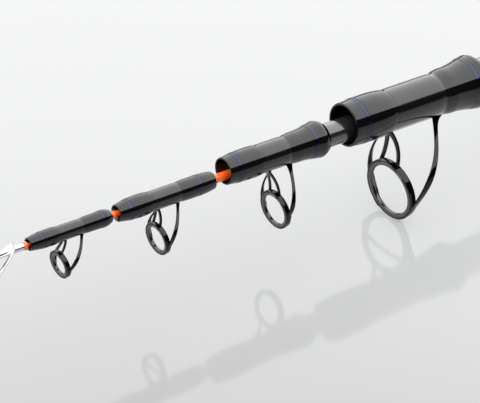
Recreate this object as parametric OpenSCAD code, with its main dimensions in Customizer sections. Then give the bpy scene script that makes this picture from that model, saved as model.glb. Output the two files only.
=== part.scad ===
// Telescopic fishing rod, lying nearly closed with its line guides hanging below it.
// X runs along the rod towards the tip and Z is up. The origin is on the axis, at the rear grip's middle.
// A size with four numbers is for the second, third, fourth and fifth section, counted from the tip.
// Every blank tapers. A closed section lies on the floor of the bore that it runs in, and it comes
// onto the centre line as it is drawn out, until its thick end wedges in the mouth.

/* [Blanks] */
// Diameter of the tip blank at its thin end
tip_d = 1.3; // [1.2:0.1:3]
// Growth of the tip blank's diameter, per metre
tip_taper = 0.4; // [0.3:0.02:2]
// Length of the tip blank
tip_l = 760; // [740:5:790]
// Length of each collared section from its mouth to its thick end
section_l = 755; // [735:5:780]
// Length that stays inside the next section when a section is drawn out
wedge_l = 75; // [50:1:120]
// Wall of each collared section at its mouth
blank_wall = [0.3, 0.3, 1.1, 1.3]; // [0.3:0.1:3]
// Growth of each section's diameter over the section inside it, per metre
taper_gain = [0, 5.6, 0, 0]; // [0:0.02:6]
// Wall of the handle section at its mouth
butt_wall = 1.4; // [1:0.1:3]
// Radial play of a section in the wedge
fit_gap = 0.05; // [0.02:0.01:0.1]

/* [Collars] */
// Height of the mouth's lip over the blank
lip_h = [1.35, 1.7, 0.4, 0.8]; // [0.4:0.05:3]
// Height of the ferrule's fullest point over the blank
swell_h = [2, 2.8, 1.5, 1.25]; // [0.9:0.05:4]
// Height of the guide wrap over the blank
wrap_h = [1.5, 1.95, 0.7, 0.3]; // [0.2:0.05:2]
// Height of the stop collar behind its front seam
rear_h = [1.7, 2.05, 1.3, 1.1]; // [0.8:0.05:3]
// Height of the stop collar's flare
flare_h = [1.95, 2.2, 2.55, 2.75]; // [1.2:0.05:5]
// Height of the stop collar's end face
end_h = [1.35, 1.75, 1.3, 1.8]; // [0.6:0.05:3]
// Distance from the mouth to the ferrule's fullest point
swell_s = [8, 9.5, 10.5, 12.6]; // [7.5:0.1:30]
// Length of the ferrule's shoulder, from its fullest point to the guide wrap
shoulder_l = [4.5, 5.8, 6, 9.2]; // [4:0.1:30]
// Length of the guide wrap between the two feet
wrap_l = [10.1, 12.3, 12.6, 25.6]; // [6:0.1:60]
// Length of the stop collar's front rise
rise_l = [3.7, 4.5, 5.8, 6]; // [3:0.1:20]
// Length from that rise to the flare's edge
flare_l = [6, 6, 10.2, 13.9]; // [4:0.1:30]
// Length from the flare's edge to the end face
tail_l = [3.3, 5.9, 3.3, 2.7]; // [1.5:0.1:10]
// Thickness of the rim round the mouth
rim_t = [0.5, 0.5, 0.55, 0.8]; // [0.3:0.05:1]
// Depth of the countersink in the mouth
sink_l = [3, 3, 4, 5]; // [2:0.1:6.5]
// Space left between a stop collar and the next mouth, as the rod lies
rest_gap = [3, 5.8, 11.5, 30]; // [1:0.1:40]
// Distance from the mouth to the front trim band
band_s = [4.2, 3.7, 3.6, 4.5]; // [2.5:0.1:5]
// Distance from the flare's edge forward to the rear trim band
band_back = [0.2, 0.4, 2.7, 2.4]; // [0.2:0.1:3]
// Width of a trim band
band_w = [1.4, 1.8, 2.2, 2.4]; // [0.5:0.1:2.6]
// Depth to which a trim band is let in
band_inlay = 0.2; // [0.1:0.05:0.3]
// Height by which a trim band stands proud
band_proud = 0.05; // [0:0.01:0.15]
// Diameter of the orange sleeve behind the second section's stop collar
plug_d = 2.9; // [2.6:0.1:2.9]
// Length of that sleeve
plug_l = 2.6; // [1:0.1:2.6]

/* [Guides] */
// Outside diameter of the hoop
hoop_d = [11.2, 13.4, 16.4, 26.6]; // [10:0.1:40]
// Wall of the hoop
hoop_t = 0.8; // [0.5:0.05:1]
// Width of the hoop
hoop_w = [1.8, 1.9, 2.1, 3.7]; // [1.6:0.1:6]
// Radial wall of the hard ring in the hoop
ring_wall = [1.2, 1.1, 1.3, 1.8]; // [0.8:0.05:2.5]
// Width of the hard ring, which lies flush with the hoop's front
ring_w = [1.3, 1.4, 1.5, 2.2]; // [1.2:0.1:5]
// Distance from the mouth to the ring's centre
ring_s = [12.8, 17.85, 24.35, 24.75]; // [8:0.05:40]
// Distance from the section's axis down to the ring's centre
ring_drop = [11.95, 15.85, 23.3, 34.8]; // [11:0.05:60]
// Lean of the ring, with its top towards the tip
ring_lean = 8; // [0:0.5:15]
// Width of the foot strip on the blank
foot_w = [1.8, 2.2, 3, 4.2]; // [1.6:0.1:6]
// Thickness of the foot strip
foot_t = [0.7, 0.7, 0.9, 1]; // [0.5:0.1:1.2]
// Length of the toe under the ferrule
toe_l = [4, 5, 6, 8]; // [2:0.5:9]
// Length of the heel under the stop collar
heel_l = [3, 4, 5, 6]; // [2:0.5:8]
// Thickness of the ground toe and heel at their ends
toe_t = 0.3; // [0.2:0.05:0.4]
// Thickness of the legs
leg_t = [0.7, 0.75, 0.8, 1]; // [0.6:0.05:2]
// Distance from the mouth to the front leg's foot
front_s = [15.7, 17.7, 20.4, 23.2]; // [14:0.1:40]
// Width of each side of the front leg, where it meets the hoop
arch_w = [0.9, 1, 1.1, 1.7]; // [0.6:0.05:3]
// Half width of the front leg's stem
stem_w = [0.6, 0.65, 0.75, 1.2]; // [0.5:0.05:2]
// Place where the stem parts in two, as a share of the front leg's height
part_share = 0.35; // [0.2:0.05:0.6]
// Height of the bend where the two sides spread, as a share of the front leg's height
spread_share = 0.2; // [0.1:0.05:0.4]
// Angle from the top of the hoop to each side of the arch
arch_angle = 27; // [20:1:40]
// Distance from the mouth to the rear legs' foot
rear_s = [23.2, 26.85, 31.3, 48]; // [20:0.05:60]
// Width of a rear leg
rear_w = [1, 1.05, 1.2, 1.6]; // [0.7:0.05:3]
// Width of a rear leg where it springs from the hoop
rear_root_w = [1.6, 1.7, 2, 3.4]; // [1.5:0.1:6]
// Angle from the top of the hoop to a rear leg's root
rear_angle = 117; // [95:1:130]
// Turn of a rear leg's face away from the rod's side
rear_turn = 37; // [0:1:45]
// Sweep of a rear leg's lower half, as parts of the hoop's radius: back, out and up
knee_back = [0.3, 0.3, 0.16, 0.68]; // [0.1:0.01:1]
knee_out = [1.78, 1.88, 1.62, 1.95]; // [1.2:0.01:2]
knee_up = [1.1, 1.35, 0.83, 1.26]; // [0.5:0.01:1.5]
// Sweep of its upper half, as parts of the way to the heel, of the radius and of the height
heel_back = [0.85, 0.88, 0.48, 0.59]; // [0.3:0.01:1]
heel_out = [0.2, 0.1, 0.8, 0.63]; // [0:0.01:1]
heel_up = [0.8, 0.73, 0.9, 0.9]; // [0.6:0.01:0.95]

/* [Tip top] */
// Outside diameter of the tip-top's tube
top_tube_d = 2.8; // [2.4:0.1:5]
// Length of the tip-top's tube
top_tube_l = 14; // [10:0.5:18]
// Length of the orange sleeve behind it
sleeve_l = 1.6; // [1:0.1:10]
// Diameter of the orange sleeve
sleeve_d = 3.1; // [2.4:0.1:3.6]
// Space between the sleeve and the second section's mouth
sleeve_gap = 0.5; // [0.5:0.1:5]
// Outside diameter of the tip-top's hoop
top_hoop_d = 11; // [9:0.1:16]
// Width of the tip-top's hoop
top_hoop_w = 1.8; // [1.2:0.1:3]
// Radial wall of the tip-top's hard ring
top_ring_wall = 1; // [0.8:0.05:2]
// Width of the tip-top's hard ring
top_ring_w = 1.8; // [1.4:0.1:3]
// Lean of the tip-top's hoop, with its bottom towards the front
top_lean = 25; // [10:1:40]
// Diameter of the tip-top's two braces
brace_d = 1.1; // [0.6:0.05:1.2]
// Distance from the tube's rear end to the braces
brace_s = 5; // [1:0.5:8]

/* [Handle] */
// Length of the handle section's mouth ferrule
butt_ferrule_l = 40; // [25:1:60]
// Height of that ferrule over the blank
butt_ferrule_h = 1.4; // [0.8:0.1:3]
// Width of a trim band on that ferrule
butt_band_w = 2.4; // [0.5:0.1:4]
// Distance of each trim band from that ferrule's ends
butt_band_s = 10; // [4:0.5:12]
// Length of the handle section's blank over a collared section
handle_more = 37; // [20:1:80]
// Length of a check ring beside a grip
check_l = 6; // [3:0.5:12]
// Diameter of the check rings
check_d = 32; // [29:0.5:33.5]
// Length of the fore grip
fore_grip_l = 85; // [50:1:150]
// Diameter of the fore grip
fore_grip_d = 34; // [33.5:0.5:42]
// Length of the rear grip
rear_grip_l = 280; // [200:5:320]
// Diameter of the rear grip
rear_grip_d = 36; // [34.5:0.5:44]
// Length of the rounded shoulder at each end of a grip
grip_shoulder_l = 9; // [4:0.5:15]
// Drop of that shoulder
grip_shoulder_h = 1.6; // [0.5:0.1:2]

/* [Reel seat] */
// Length of the seat's body
seat_l = 120; // [112:1:150]
// Wall of the bushes between the blank and the seat, where the blank is thickest
arbor_t = 1.3; // [0.8:0.1:3]
// Length of each bush
arbor_l = 22; // [10:1:35]
// Wall of the seat's body
seat_wall = 1.6; // [1.2:0.1:2.5]
// Running play of the sliding hood and the lock nut
seat_gap = 0.05; // [0.02:0.01:0.1]
// Wall of the hoods
hood_wall = 1.8; // [1.2:0.1:3]
// Length of the fixed hood
fixed_hood_l = 26; // [20:1:34]
// Length of the sliding hood
slide_hood_l = 20; // [15:1:26]
// Distance between the hoods as the rod lies
hood_span = 30; // [26:1:36]
// Width of the reel foot's pocket
pocket_w = 14.5; // [12:0.5:17]
// Depth of the reel foot's pocket below the seat
pocket_h = 4.8; // [3:0.1:5]
// Wall that closes a pocket
pocket_end = 3; // [2:0.5:5]
// Width of the key that stops the sliding hood from turning
key_w = 3; // [2:0.1:5]
// Depth of the keyway in the seat
key_h = 0.7; // [0.4:0.1:0.8]
// Length of the lock nut
nut_l = 14; // [10:1:18]
// Wall of the lock nut over the seat
nut_h = 3.2; // [2.7:0.1:6]
// Number of finger flutes in the lock nut
flutes = 18; // [12:1:28]
// Diameter of a finger flute
flute_d = 4; // [2:0.1:5]

/* [Butt end] */
// Length of the end collar
end_collar_l = 6; // [4:0.5:12]
// Radial room for the screw in the end collar
collar_gap = 0.5; // [0.3:0.1:1]
// Length of the threaded insert in the blank
insert_l = 22; // [16:1:40]
// Diameter of the screw
screw_d = 16; // [12:0.5:19]
// Running play of the screw
screw_gap = 0.05; // [0.02:0.01:0.1]
// Thickness of the stop pad in front of the insert
pad_t = 5; // [3:0.5:12]
// Hole in the stop pad
pad_hole_d = 8; // [4:0.5:11]
// Thickness of the seal washer
washer_t = 1.2; // [0.8:0.1:2]
// Outside diameter of the seal washer
washer_d = 28; // [24:0.5:31]
// Space between the washer and the end collar
washer_gap = 0.1; // [0.05:0.05:0.2]
// Thickness of the butt cap's flange
cap_l = 12; // [8:0.5:20]
// Diameter of the butt cap
cap_d = 36; // [33:0.5:44]
// Thickness of the rubber bumper on the cap
bumper_t = 10; // [6:0.5:20]
// Diameter of the bumper's seat on the cap
bumper_seat_d = 22; // [16:0.5:28]
// Height of that seat
bumper_seat_l = 4; // [2:0.5:5]

/* [Hidden] */
$fn = 64;
TIP = 0;
BUTT = 5;
SECTION = ["tip", "second", "third", "fourth", "fifth", "butt"];
COLLARED = [1:4];
FIRST_GREY = 3;
PIECE = ["blank", "ferrule", "guide_wrap", "stop_collar", "trim", "guide_frame", "guide_ring"];

// Steps along a curved outline, and a hair by which cutters overshoot
STEPS = 7;
LEG_STEPS = 9;
OVER = 1;
METRE = 1000;

BLACK = "#141416";
LACQUER = "#1c1a19";
ORANGE = "#e0561f";
SMOKE = "#3a3b3f";
TRIM_BLUE = "#4b58c8";
GUN_CHROME = "#6e7176";
RING_GREY = "#3c3d40";
CHROME = "#d8dadc";
FOAM = "#262627";
RUBBER = "#1a1a1a";
ALLOY = "#9ea2a8";

// Blanks: index 0 is the tip, 1 to 4 the collared sections, 5 the handle section
function taper(i) = i == TIP ? tip_taper : i == BUTT ? taper(i - 1) : taper(i - 1) + taper_gain[i - 1];
function slope(i) = taper(i) / METRE / 2;
function length_of(i) = i == TIP ? tip_l : section_l;
function wall_of(i) = i == BUTT ? butt_wall : blank_wall[i - 1];
function bore_r(i, s) = skin_r(i - 1, length_of(i - 1) - wedge_l + s) + fit_gap;
function skin_r(i, s) = (i == TIP ? tip_d / 2 : bore_r(i, 0) + wall_of(i)) + slope(i) * s;

// Places along a collar, measured back from the mouth
function neck_s(i) = swell_s[i - 1] + shoulder_l[i - 1];
function seam_s(i) = neck_s(i) + wrap_l[i - 1];
function flare_s(i) = seam_s(i) + rise_l[i - 1] + flare_l[i - 1];
function collar_l(i) = i == TIP ? top_tube_l + sleeve_l : flare_s(i) + tail_l[i - 1];
function gap_of(i) = i == TIP ? sleeve_gap : rest_gap[i - 1];

// Places of the handle's pieces along X
grip_x0 = -rear_grip_l / 2;
grip_x1 = rear_grip_l / 2;
seat_x0 = grip_x1 + check_l;
seat_x1 = seat_x0 + seat_l;
fore_x1 = seat_x1 + fore_grip_l;
butt_mouth_x = grip_x0 + section_l + handle_more;
slide_hood_x0 = seat_x0 + fixed_hood_l + hood_span;
nut_x0 = slide_hood_x0 + slide_hood_l + seat_gap;
end_x0 = grip_x0 - end_collar_l;
washer_x0 = end_x0 - washer_gap - washer_t;

// Where a section lies: its mouth along X, and its axis on the floor of the next bore
function mouth_x(i) = i == BUTT ? butt_mouth_x : mouth_x(i + 1) + gap_of(i) + collar_l(i);
function travel(i) = length_of(i) - wedge_l - collar_l(i) - gap_of(i);
function axis_z(i) = i == BUTT ? 0 : axis_z(i + 1) - slope(i) * travel(i);

// Curves between two heights
function level_off(a, b, t) = a + (b - a) * sin(90 * t);
function ease(a, b, t) = a + (b - a) * (1 - cos(180 * t)) / 2;
function turn_out(a, b, t) = a + (b - a) * (1 - cos(90 * t));
function bezier(a, b, c, t) = (1 - t) * (1 - t) * a + 2 * t * (1 - t) * b + t * t * c;
function cubic(a, b, c, d, t) = (1 - t) * bezier(a, b, c, t) + t * bezier(b, c, d, t);

// Radius of a collar's outline at distance s from the mouth
function ferrule_h(i, s) = s <= swell_s[i - 1]
    ? level_off(lip_h[i - 1], swell_h[i - 1], s / swell_s[i - 1])
    : ease(swell_h[i - 1], wrap_h[i - 1], (s - swell_s[i - 1]) / shoulder_l[i - 1]);
function stop_h(i, u) = let (rise = rise_l[i - 1], flare = flare_l[i - 1])
    u <= rise ? ease(wrap_h[i - 1], rear_h[i - 1], u / rise)
    : u <= rise + flare ? turn_out(rear_h[i - 1], flare_h[i - 1], (u - rise) / flare)
    : turn_out(flare_h[i - 1], end_h[i - 1], (u - rise - flare) / tail_l[i - 1]);
function collar_r(i, s) = skin_r(i, s)
    + (s < neck_s(i) ? ferrule_h(i, s) : s < seam_s(i) ? wrap_h[i - 1] : stop_h(i, s - seam_s(i)));
function outline(i, from, to) = [for (k = [0:STEPS])
    let (s = from + (to - from) * k / STEPS) [collar_r(i, s), s]];
function band_groove(i, s) = [for (e = [s, s + band_w[i - 1]]) [collar_r(i, e) - band_inlay, e]];
function band_face(i, s) = [for (e = [s + band_w[i - 1], s]) [collar_r(i, e) + band_proud, e]];
function rear_band_s(i) = flare_s(i) - band_back[i - 1] - band_w[i - 1];

// Frame of a section: the mouth's centre at the origin, X towards the tip
module in_section(i) { translate([mouth_x(i), 0, axis_z(i)]) children(); }

// Solid of revolution from points [radius, distance back from the mouth]
module turned(points) { rotate([0, -90, 0]) rotate_extrude() polygon(points); }

// Solid of revolution from points [radius, X]
module turned_x(points) { rotate([0, 90, 0]) rotate_extrude() polygon(points); }

// Plate from a side view in X and Z, or a front view in Y and Z, of the given thickness about the middle
module side_plate(w) { rotate([90, 0, 0]) linear_extrude(w, center = true) children(); }
module front_plate(w) { rotate([90, 0, 90]) linear_extrude(w, center = true) children(); }

// Round bar between two points
module strut(p, q, d) {
    v = q - p;
    flat = norm([v[0], v[1]]);
    translate(p) rotate([0, atan2(flat, v[2]), atan2(v[1], v[0])]) cylinder(h = norm(v), d = d);
}

// Hard ring with a round inner face, about the X axis
module hard_ring(outer_r, wall, w) {
    bead = min(w, wall) / 2;
    rotate([0, 90, 0]) rotate_extrude() union() {
        translate([outer_r - wall + bead, -w / 2]) square([wall - bead, w]);
        ring_bead(outer_r - wall, bead, w);
    }
}

// Inner half of the ring's section: two beads with a flat between them
module ring_bead(inner_r, bead, w) {
    for (side = [-1, 1]) translate([inner_r + bead, side * (w / 2 - bead)]) circle(r = bead);
    translate([inner_r, bead - w / 2]) square([bead, max(w - 2 * bead, bead / METRE)]);
}

module blank(i) {
    sink = sink_l[i - 1];
    in_section(i) turned([
        [bore_r(i, sink), sink], [skin_r(i, sink), sink],
        [skin_r(i, section_l), section_l], [bore_r(i, section_l), section_l]]);
}

// Room that the foot takes up under the collar's pieces
module foot_prism(i) {
    r = skin_r(i, neck_s(i));
    t = foot_t[i - 1];
    toe = neck_s(i) - toe_l[i - 1];
    heel = seam_s(i) + heel_l[i - 1];
    side_plate(foot_w[i - 1]) polygon([
        [-toe, -r / 2], [-toe, -skin_r(i, toe) - toe_t],
        [-neck_s(i), -skin_r(i, neck_s(i)) - t], [-seam_s(i), -skin_r(i, seam_s(i)) - t],
        [-heel, -skin_r(i, heel) - toe_t], [-heel, -r / 2]]);
}

module ferrule(i) {
    s = band_s[i - 1];
    sink = sink_l[i - 1];
    neck = neck_s(i);
    in_section(i) difference() {
        turned(concat(
            [[skin_r(i, neck), neck], [skin_r(i, sink), sink], [bore_r(i, sink), sink],
             [collar_r(i, 0) - rim_t[i - 1], 0]],
            outline(i, 0, s), band_groove(i, s), outline(i, s + band_w[i - 1], swell_s[i - 1]),
            [for (k = [1:STEPS]) outline(i, swell_s[i - 1], neck)[k]]));
        foot_prism(i);
        legs(i);
    }
}

module guide_wrap(i) {
    from = neck_s(i);
    to = seam_s(i);
    in_section(i) difference() {
        turned([[skin_r(i, from), from], [skin_r(i, from) + wrap_h[i - 1], from],
                [skin_r(i, to) + wrap_h[i - 1], to], [skin_r(i, to), to]]);
        foot_prism(i);
        legs(i);
    }
}

module stop_collar(i) {
    seam = seam_s(i);
    rise = seam + rise_l[i - 1];
    s = rear_band_s(i);
    end = collar_l(i);
    in_section(i) difference() {
        turned(concat(
            outline(i, seam, rise), [for (k = [1:STEPS]) outline(i, rise, s)[k]], band_groove(i, s),
            outline(i, s + band_w[i - 1], flare_s(i)), [for (k = [1:STEPS]) outline(i, flare_s(i), end)[k]],
            [[skin_r(i, end), end], [skin_r(i, seam), seam]]));
        foot_prism(i);
        legs(i);
    }
}

module trim(i) {
    in_section(i) for (s = [band_s[i - 1], rear_band_s(i)]) turned(concat(band_groove(i, s), band_face(i, s)));
}

// Frame of a guide's ring: the ring's centre at the origin, its axis along X
module in_ring(i) {
    translate([-ring_s[i - 1], 0, -ring_drop[i - 1]]) rotate([0, ring_lean, 0]) children();
}
function hoop_r(i) = hoop_d[i - 1] / 2;
function seat_r(i) = hoop_r(i) - hoop_t;

// A point of the ring's frame, in the section's frame, in X and Z
function from_ring(i, x, z) = [-ring_s[i - 1] + x * cos(ring_lean) + z * sin(ring_lean),
    -ring_drop[i - 1] - x * sin(ring_lean) + z * cos(ring_lean)];

// Hoop, with its two rims eased
module hoop(i) {
    r = hoop_r(i);
    w = hoop_w[i - 1] / 2;
    c = hoop_t / 4;
    in_ring(i) turned_x([[seat_r(i), -w], [r - c, -w], [r, c - w], [r, w - c], [r - c, w], [seat_r(i), w]]);
}

// Outline of a band of changing width along a line of points
function ribbon(points, widths) = let (n = len(points) - 1, side = [for (k = [0:n])
        let (d = points[min(k + 1, n)] - points[max(k - 1, 0)]) [-d[1], d[0]] / norm(d) * widths[k] / 2])
    concat([for (k = [0:n]) points[k] + side[k]], [for (k = [n:-1:0]) points[k] - side[k]]);

// Strip along a rising path, its faces turned about the vertical: cut from two views of the path
module strip(path, widths, t, turn, reach) {
    rotate([0, 0, turn]) intersection() {
        side_plate(reach) polygon(ribbon(
            [for (p = path) [p[0] * cos(turn) + p[1] * sin(turn), p[2]]], widths));
        front_plate(reach) polygon(ribbon(
            [for (p = path) [p[1] * cos(turn) - p[0] * sin(turn), p[2]]], [for (p = path) t]));
    }
}

// The front leg: a stem that parts in two, in one plate from the foot down to the back edge of the hoop
module front_leg(i) {
    t = leg_t[i - 1];
    b = arch_w[i - 1];
    s = front_s[i - 1];
    r = hoop_r(i) - hoop_t / 2;
    top = -skin_r(i, s) - foot_t[i - 1] / 2;
    back = (t - hoop_w[i - 1]) / 2;
    root = from_ring(i, back, r * cos(arch_angle));
    crown = from_ring(i, back, r);
    span = r * sin(arch_angle);
    parting = top + part_share * (root[1] - top);
    bend = root[1] + spread_share * (top - root[1]);
    outer = [for (k = [0:STEPS])
        bezier([foot_w[i - 1] / 2, top], [stem_w[i - 1], bend], [span, root[1]], k / STEPS)];
    inner = [for (k = [0:STEPS]) bezier([0, parting], [0, bend], [span - b, root[1]], k / STEPS)];
    intersection() {
        translate([crown[0], 0, 0]) front_plate(hoop_d[i - 1]) difference() {
            polygon(concat(outer, [for (k = [STEPS:-1:0]) [-outer[k][0], outer[k][1]]]));
            polygon(concat(inner, [for (k = [STEPS:-1:1]) [-inner[k][0], inner[k][1]]]));
        }
        side_plate(hoop_d[i - 1]) polygon(ribbon([[-s, top], crown, root], [t, t, t]));
    }
}

// A rear leg: a bowed strip from the side of the hoop back to the heel, widest at the hoop
module rear_leg(i) {
    t = leg_t[i - 1];
    r = hoop_r(i);
    s = rear_s[i - 1];
    low = r - hoop_t / 2;
    base = from_ring(i, (rear_w[i - 1] - hoop_w[i - 1]) / 2, low * cos(rear_angle));
    root = [base[0], low * sin(rear_angle), base[1]];
    middle = [-ring_s[i - 1], 0, -ring_drop[i - 1]];
    heel = [-s, t / 2, -skin_r(i, s) - foot_t[i - 1] / 2];
    rise = heel - middle;
    knee = middle + r * [-knee_back[i - 1], knee_out[i - 1], knee_up[i - 1]];
    bend = middle + [heel_back[i - 1] * rise[0], heel_out[i - 1] * r, heel_up[i - 1] * rise[2]];
    path = [for (k = [0:LEG_STEPS]) cubic(root, knee, bend, heel, k / LEG_STEPS)];
    widths = [for (k = [0:LEG_STEPS]) level_off(rear_root_w[i - 1], rear_w[i - 1], k / LEG_STEPS)];
    strip(path, widths, t, -rear_turn, 2 * collar_l(i) + 2 * hoop_d[i - 1]);
}

module legs(i) {
    front_leg(i);
    for (side = [0, 1]) mirror([0, side, 0]) rear_leg(i);
}

module guide_frame(i) {
    in_section(i) union() {
        difference() {
            union() {
                foot_prism(i);
                legs(i);
            }
            turned([[0, 0], [skin_r(i, 0), 0], [skin_r(i, collar_l(i)), collar_l(i)], [0, collar_l(i)]]);
            in_ring(i) rotate([0, 90, 0]) cylinder(h = hoop_d[i - 1], r = seat_r(i), center = true);
        }
        hoop(i);
    }
}

module guide_ring(i) {
    ahead = (hoop_w[i - 1] - ring_w[i - 1]) / 2;
    in_section(i) in_ring(i) translate([ahead, 0, 0]) hard_ring(seat_r(i), ring_wall[i - 1], ring_w[i - 1]);
}

module tip_blank() {
    color(ORANGE) in_section(TIP)
        turned([[0, 0], [skin_r(TIP, 0), 0], [skin_r(TIP, tip_l), tip_l], [0, tip_l]]);
}

module tip_sleeve() {
    from = top_tube_l;
    to = collar_l(TIP);
    color(ORANGE) in_section(TIP) turned([[skin_r(TIP, from), from], [sleeve_d / 2, from],
        [sleeve_d / 2, to], [skin_r(TIP, to), to]]);
}

// Sleeve on the second blank, behind its stop collar
module second_sleeve() {
    i = TIP + 1;
    from = collar_l(i);
    to = from + plug_l;
    color(ORANGE) in_section(i) turned([[skin_r(i, from), from], [plug_d / 2, from],
        [plug_d / 2, to], [skin_r(i, to), to]]);
}

// Tube of the tip-top, closed at its front
module tip_top_tube() {
    r = top_tube_d / 2;
    color(CHROME) in_section(TIP) turned([[0, 0], [skin_r(TIP, 0), 0],
        [skin_r(TIP, top_tube_l), top_tube_l], [r, top_tube_l], [r, -hoop_t / 2],
        [r - hoop_t / 2, -hoop_t], [0, -hoop_t]]);
}

top_r = top_hoop_d / 2;
top_seat_r = top_r - hoop_t;
top_drop = top_tube_d / 2 + top_r * cos(top_lean) - hoop_t / 2;
top_ahead = top_r * sin(top_lean);
module in_top_ring() { translate([top_ahead, 0, -top_drop]) rotate([0, -top_lean, 0]) children(); }

// Hoop below the tube's end, with a brace from each side of the tube to the hoop's lower half
module tip_top_frame() {
    color(CHROME) in_section(TIP) difference() {
        union() {
            in_top_ring() rotate([0, 90, 0]) difference() {
                cylinder(h = top_hoop_w, r = top_r, center = true);
                cylinder(h = top_hoop_w + OVER, r = top_seat_r, center = true);
            }
            for (side = [-1, 1]) strut(
                [-top_tube_l + brace_s, side * (top_tube_d - brace_d) / 4, -top_tube_d / 4],
                [top_ahead - brace_d / 2, side * (top_r - hoop_t / 2), -top_drop], brace_d);
        }
        rotate([0, -90, 0]) translate([0, 0, -hoop_t]) cylinder(h = top_tube_l + hoop_t, d = top_tube_d);
        in_top_ring() rotate([0, 90, 0]) cylinder(h = top_hoop_d, r = top_seat_r, center = true);
    }
}

module tip_top_ring() {
    color(RING_GREY) in_section(TIP) in_top_ring() hard_ring(top_seat_r, top_ring_wall, top_ring_w);
}

// Handle section: radius of its blank at a place along X
function butt_r(x) = skin_r(BUTT, butt_mouth_x - x);
function butt_bore_r(x) = bore_r(BUTT, butt_mouth_x - x);

module butt_blank() {
    color(BLACK) turned_x([[butt_bore_r(grip_x0), grip_x0], [butt_r(grip_x0), grip_x0],
        [butt_r(butt_mouth_x), butt_mouth_x], [butt_bore_r(butt_mouth_x), butt_mouth_x]]);
}

butt_ferrule_x0 = butt_mouth_x - butt_ferrule_l;
butt_ferrule_r = butt_r(butt_ferrule_x0) + butt_ferrule_h;
butt_band_x = [butt_mouth_x - butt_band_s, butt_ferrule_x0 + butt_band_s];

module butt_ferrule() {
    c = butt_ferrule_h / 2;
    color(BLACK) difference() {
        turned_x([[butt_r(butt_ferrule_x0), butt_ferrule_x0], [butt_ferrule_r - c, butt_ferrule_x0],
            [butt_ferrule_r, butt_ferrule_x0 + 2 * c], [butt_ferrule_r, butt_mouth_x - c],
            [butt_ferrule_r - c, butt_mouth_x], [butt_r(butt_mouth_x), butt_mouth_x]]);
        for (x = butt_band_x) butt_band(x, butt_ferrule_r + OVER);
    }
}

module butt_band(x, r) {
    inner = butt_ferrule_r - band_inlay;
    turned_x([[inner, x], [r, x], [r, x + butt_band_w], [inner, x + butt_band_w]]);
}

module butt_trim() {
    color(TRIM_BLUE) for (x = butt_band_x) butt_band(x, butt_ferrule_r + band_proud);
}

// Ring on the blank beside a grip, thinning away from it
module check(x0, x1, thin_at_front) {
    r = check_d / 2;
    thin = (r + butt_r(x0)) / 2;
    turned_x([[butt_r(x0), x0], [r, x0], [thin_at_front ? thin : r, x1], [butt_r(x1), x1]]);
}

module front_check() { color(ALLOY) check(fore_x1, fore_x1 + check_l, true); }
module rear_check() { color(ALLOY) check(grip_x1, seat_x0, false); }

// Foam grip with a rounded shoulder at each end
module grip(x0, x1, d) {
    shoulder = [for (k = [0:STEPS]) let (t = k / STEPS)
        [level_off(d / 2 - grip_shoulder_h, d / 2, t), t * grip_shoulder_l]];
    turned_x(concat([[butt_r(x0), x0]], [for (p = shoulder) [p[0], x0 + p[1]]],
        [for (k = [STEPS:-1:0]) [shoulder[k][0], x1 - shoulder[k][1]]], [[butt_r(x1), x1]]));
}

module fore_grip() { color(FOAM) grip(seat_x1, fore_x1, fore_grip_d); }
module rear_grip() { color(FOAM) grip(grip_x0, grip_x1, rear_grip_d); }

seat_bore_r = butt_r(seat_x0) + arbor_t;
seat_r0 = seat_bore_r + seat_wall;

module seat_arbors() {
    color(ALLOY) for (x = [seat_x0, seat_x1 - arbor_l]) turned_x([[butt_r(x), x], [seat_bore_r, x],
        [seat_bore_r, x + arbor_l], [butt_r(x + arbor_l), x + arbor_l]]);
}

// Keyway along the top of the seat, from the fixed hood to the seat's end
module keyway(w, h, x0, x1) {
    translate([x0, -w / 2, seat_r0 - h]) cube([x1 - x0, w, h + OVER]);
}

module seat_body() {
    color(BLACK) difference() {
        turned_x([[seat_bore_r, seat_x0], [seat_r0, seat_x0], [seat_r0, seat_x1], [seat_bore_r, seat_x1]]);
        keyway(key_w, key_h, seat_x0 + fixed_hood_l, seat_x1 - pocket_end);
    }
}

// Outline of a hood seen along the rod: a ring with a lobe below it for the reel's foot
module hood_outline(wall) {
    circle(r = seat_r0 + wall);
    translate([0, -(seat_r0 + pocket_h - pocket_w / 2)]) circle(d = pocket_w + 2 * wall);
}

// Pocket for the reel's foot
module pocket_outline() {
    translate([0, -(seat_r0 + pocket_h - pocket_w / 2)]) circle(d = pocket_w);
}

// Hood from x0, with its pocket open on one side
module hood(x0, l, bore, open_front) {
    difference() {
        translate([x0, 0, 0]) rotate([90, 0, 90]) linear_extrude(l) hood_outline(hood_wall);
        translate([x0 - OVER, 0, 0]) rotate([0, 90, 0]) cylinder(h = l + 2 * OVER, r = bore);
        translate([open_front ? x0 + pocket_end : x0 - OVER, 0, 0]) rotate([90, 0, 90])
            linear_extrude(l - pocket_end + OVER) pocket_outline();
    }
}

module fixed_hood() { color(ALLOY) hood(seat_x0, fixed_hood_l, seat_r0, true); }

module sliding_hood() {
    side = 2 * seat_gap;
    color(ALLOY) union() {
        hood(slide_hood_x0, slide_hood_l, seat_r0 + seat_gap, false);
        intersection() {
            keyway(key_w - 2 * side, key_h - side, slide_hood_x0, slide_hood_x0 + slide_hood_l);
            translate([slide_hood_x0, 0, 0]) rotate([0, 90, 0])
                cylinder(h = slide_hood_l, r = seat_r0 + hood_wall / 2);
        }
    }
}

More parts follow.
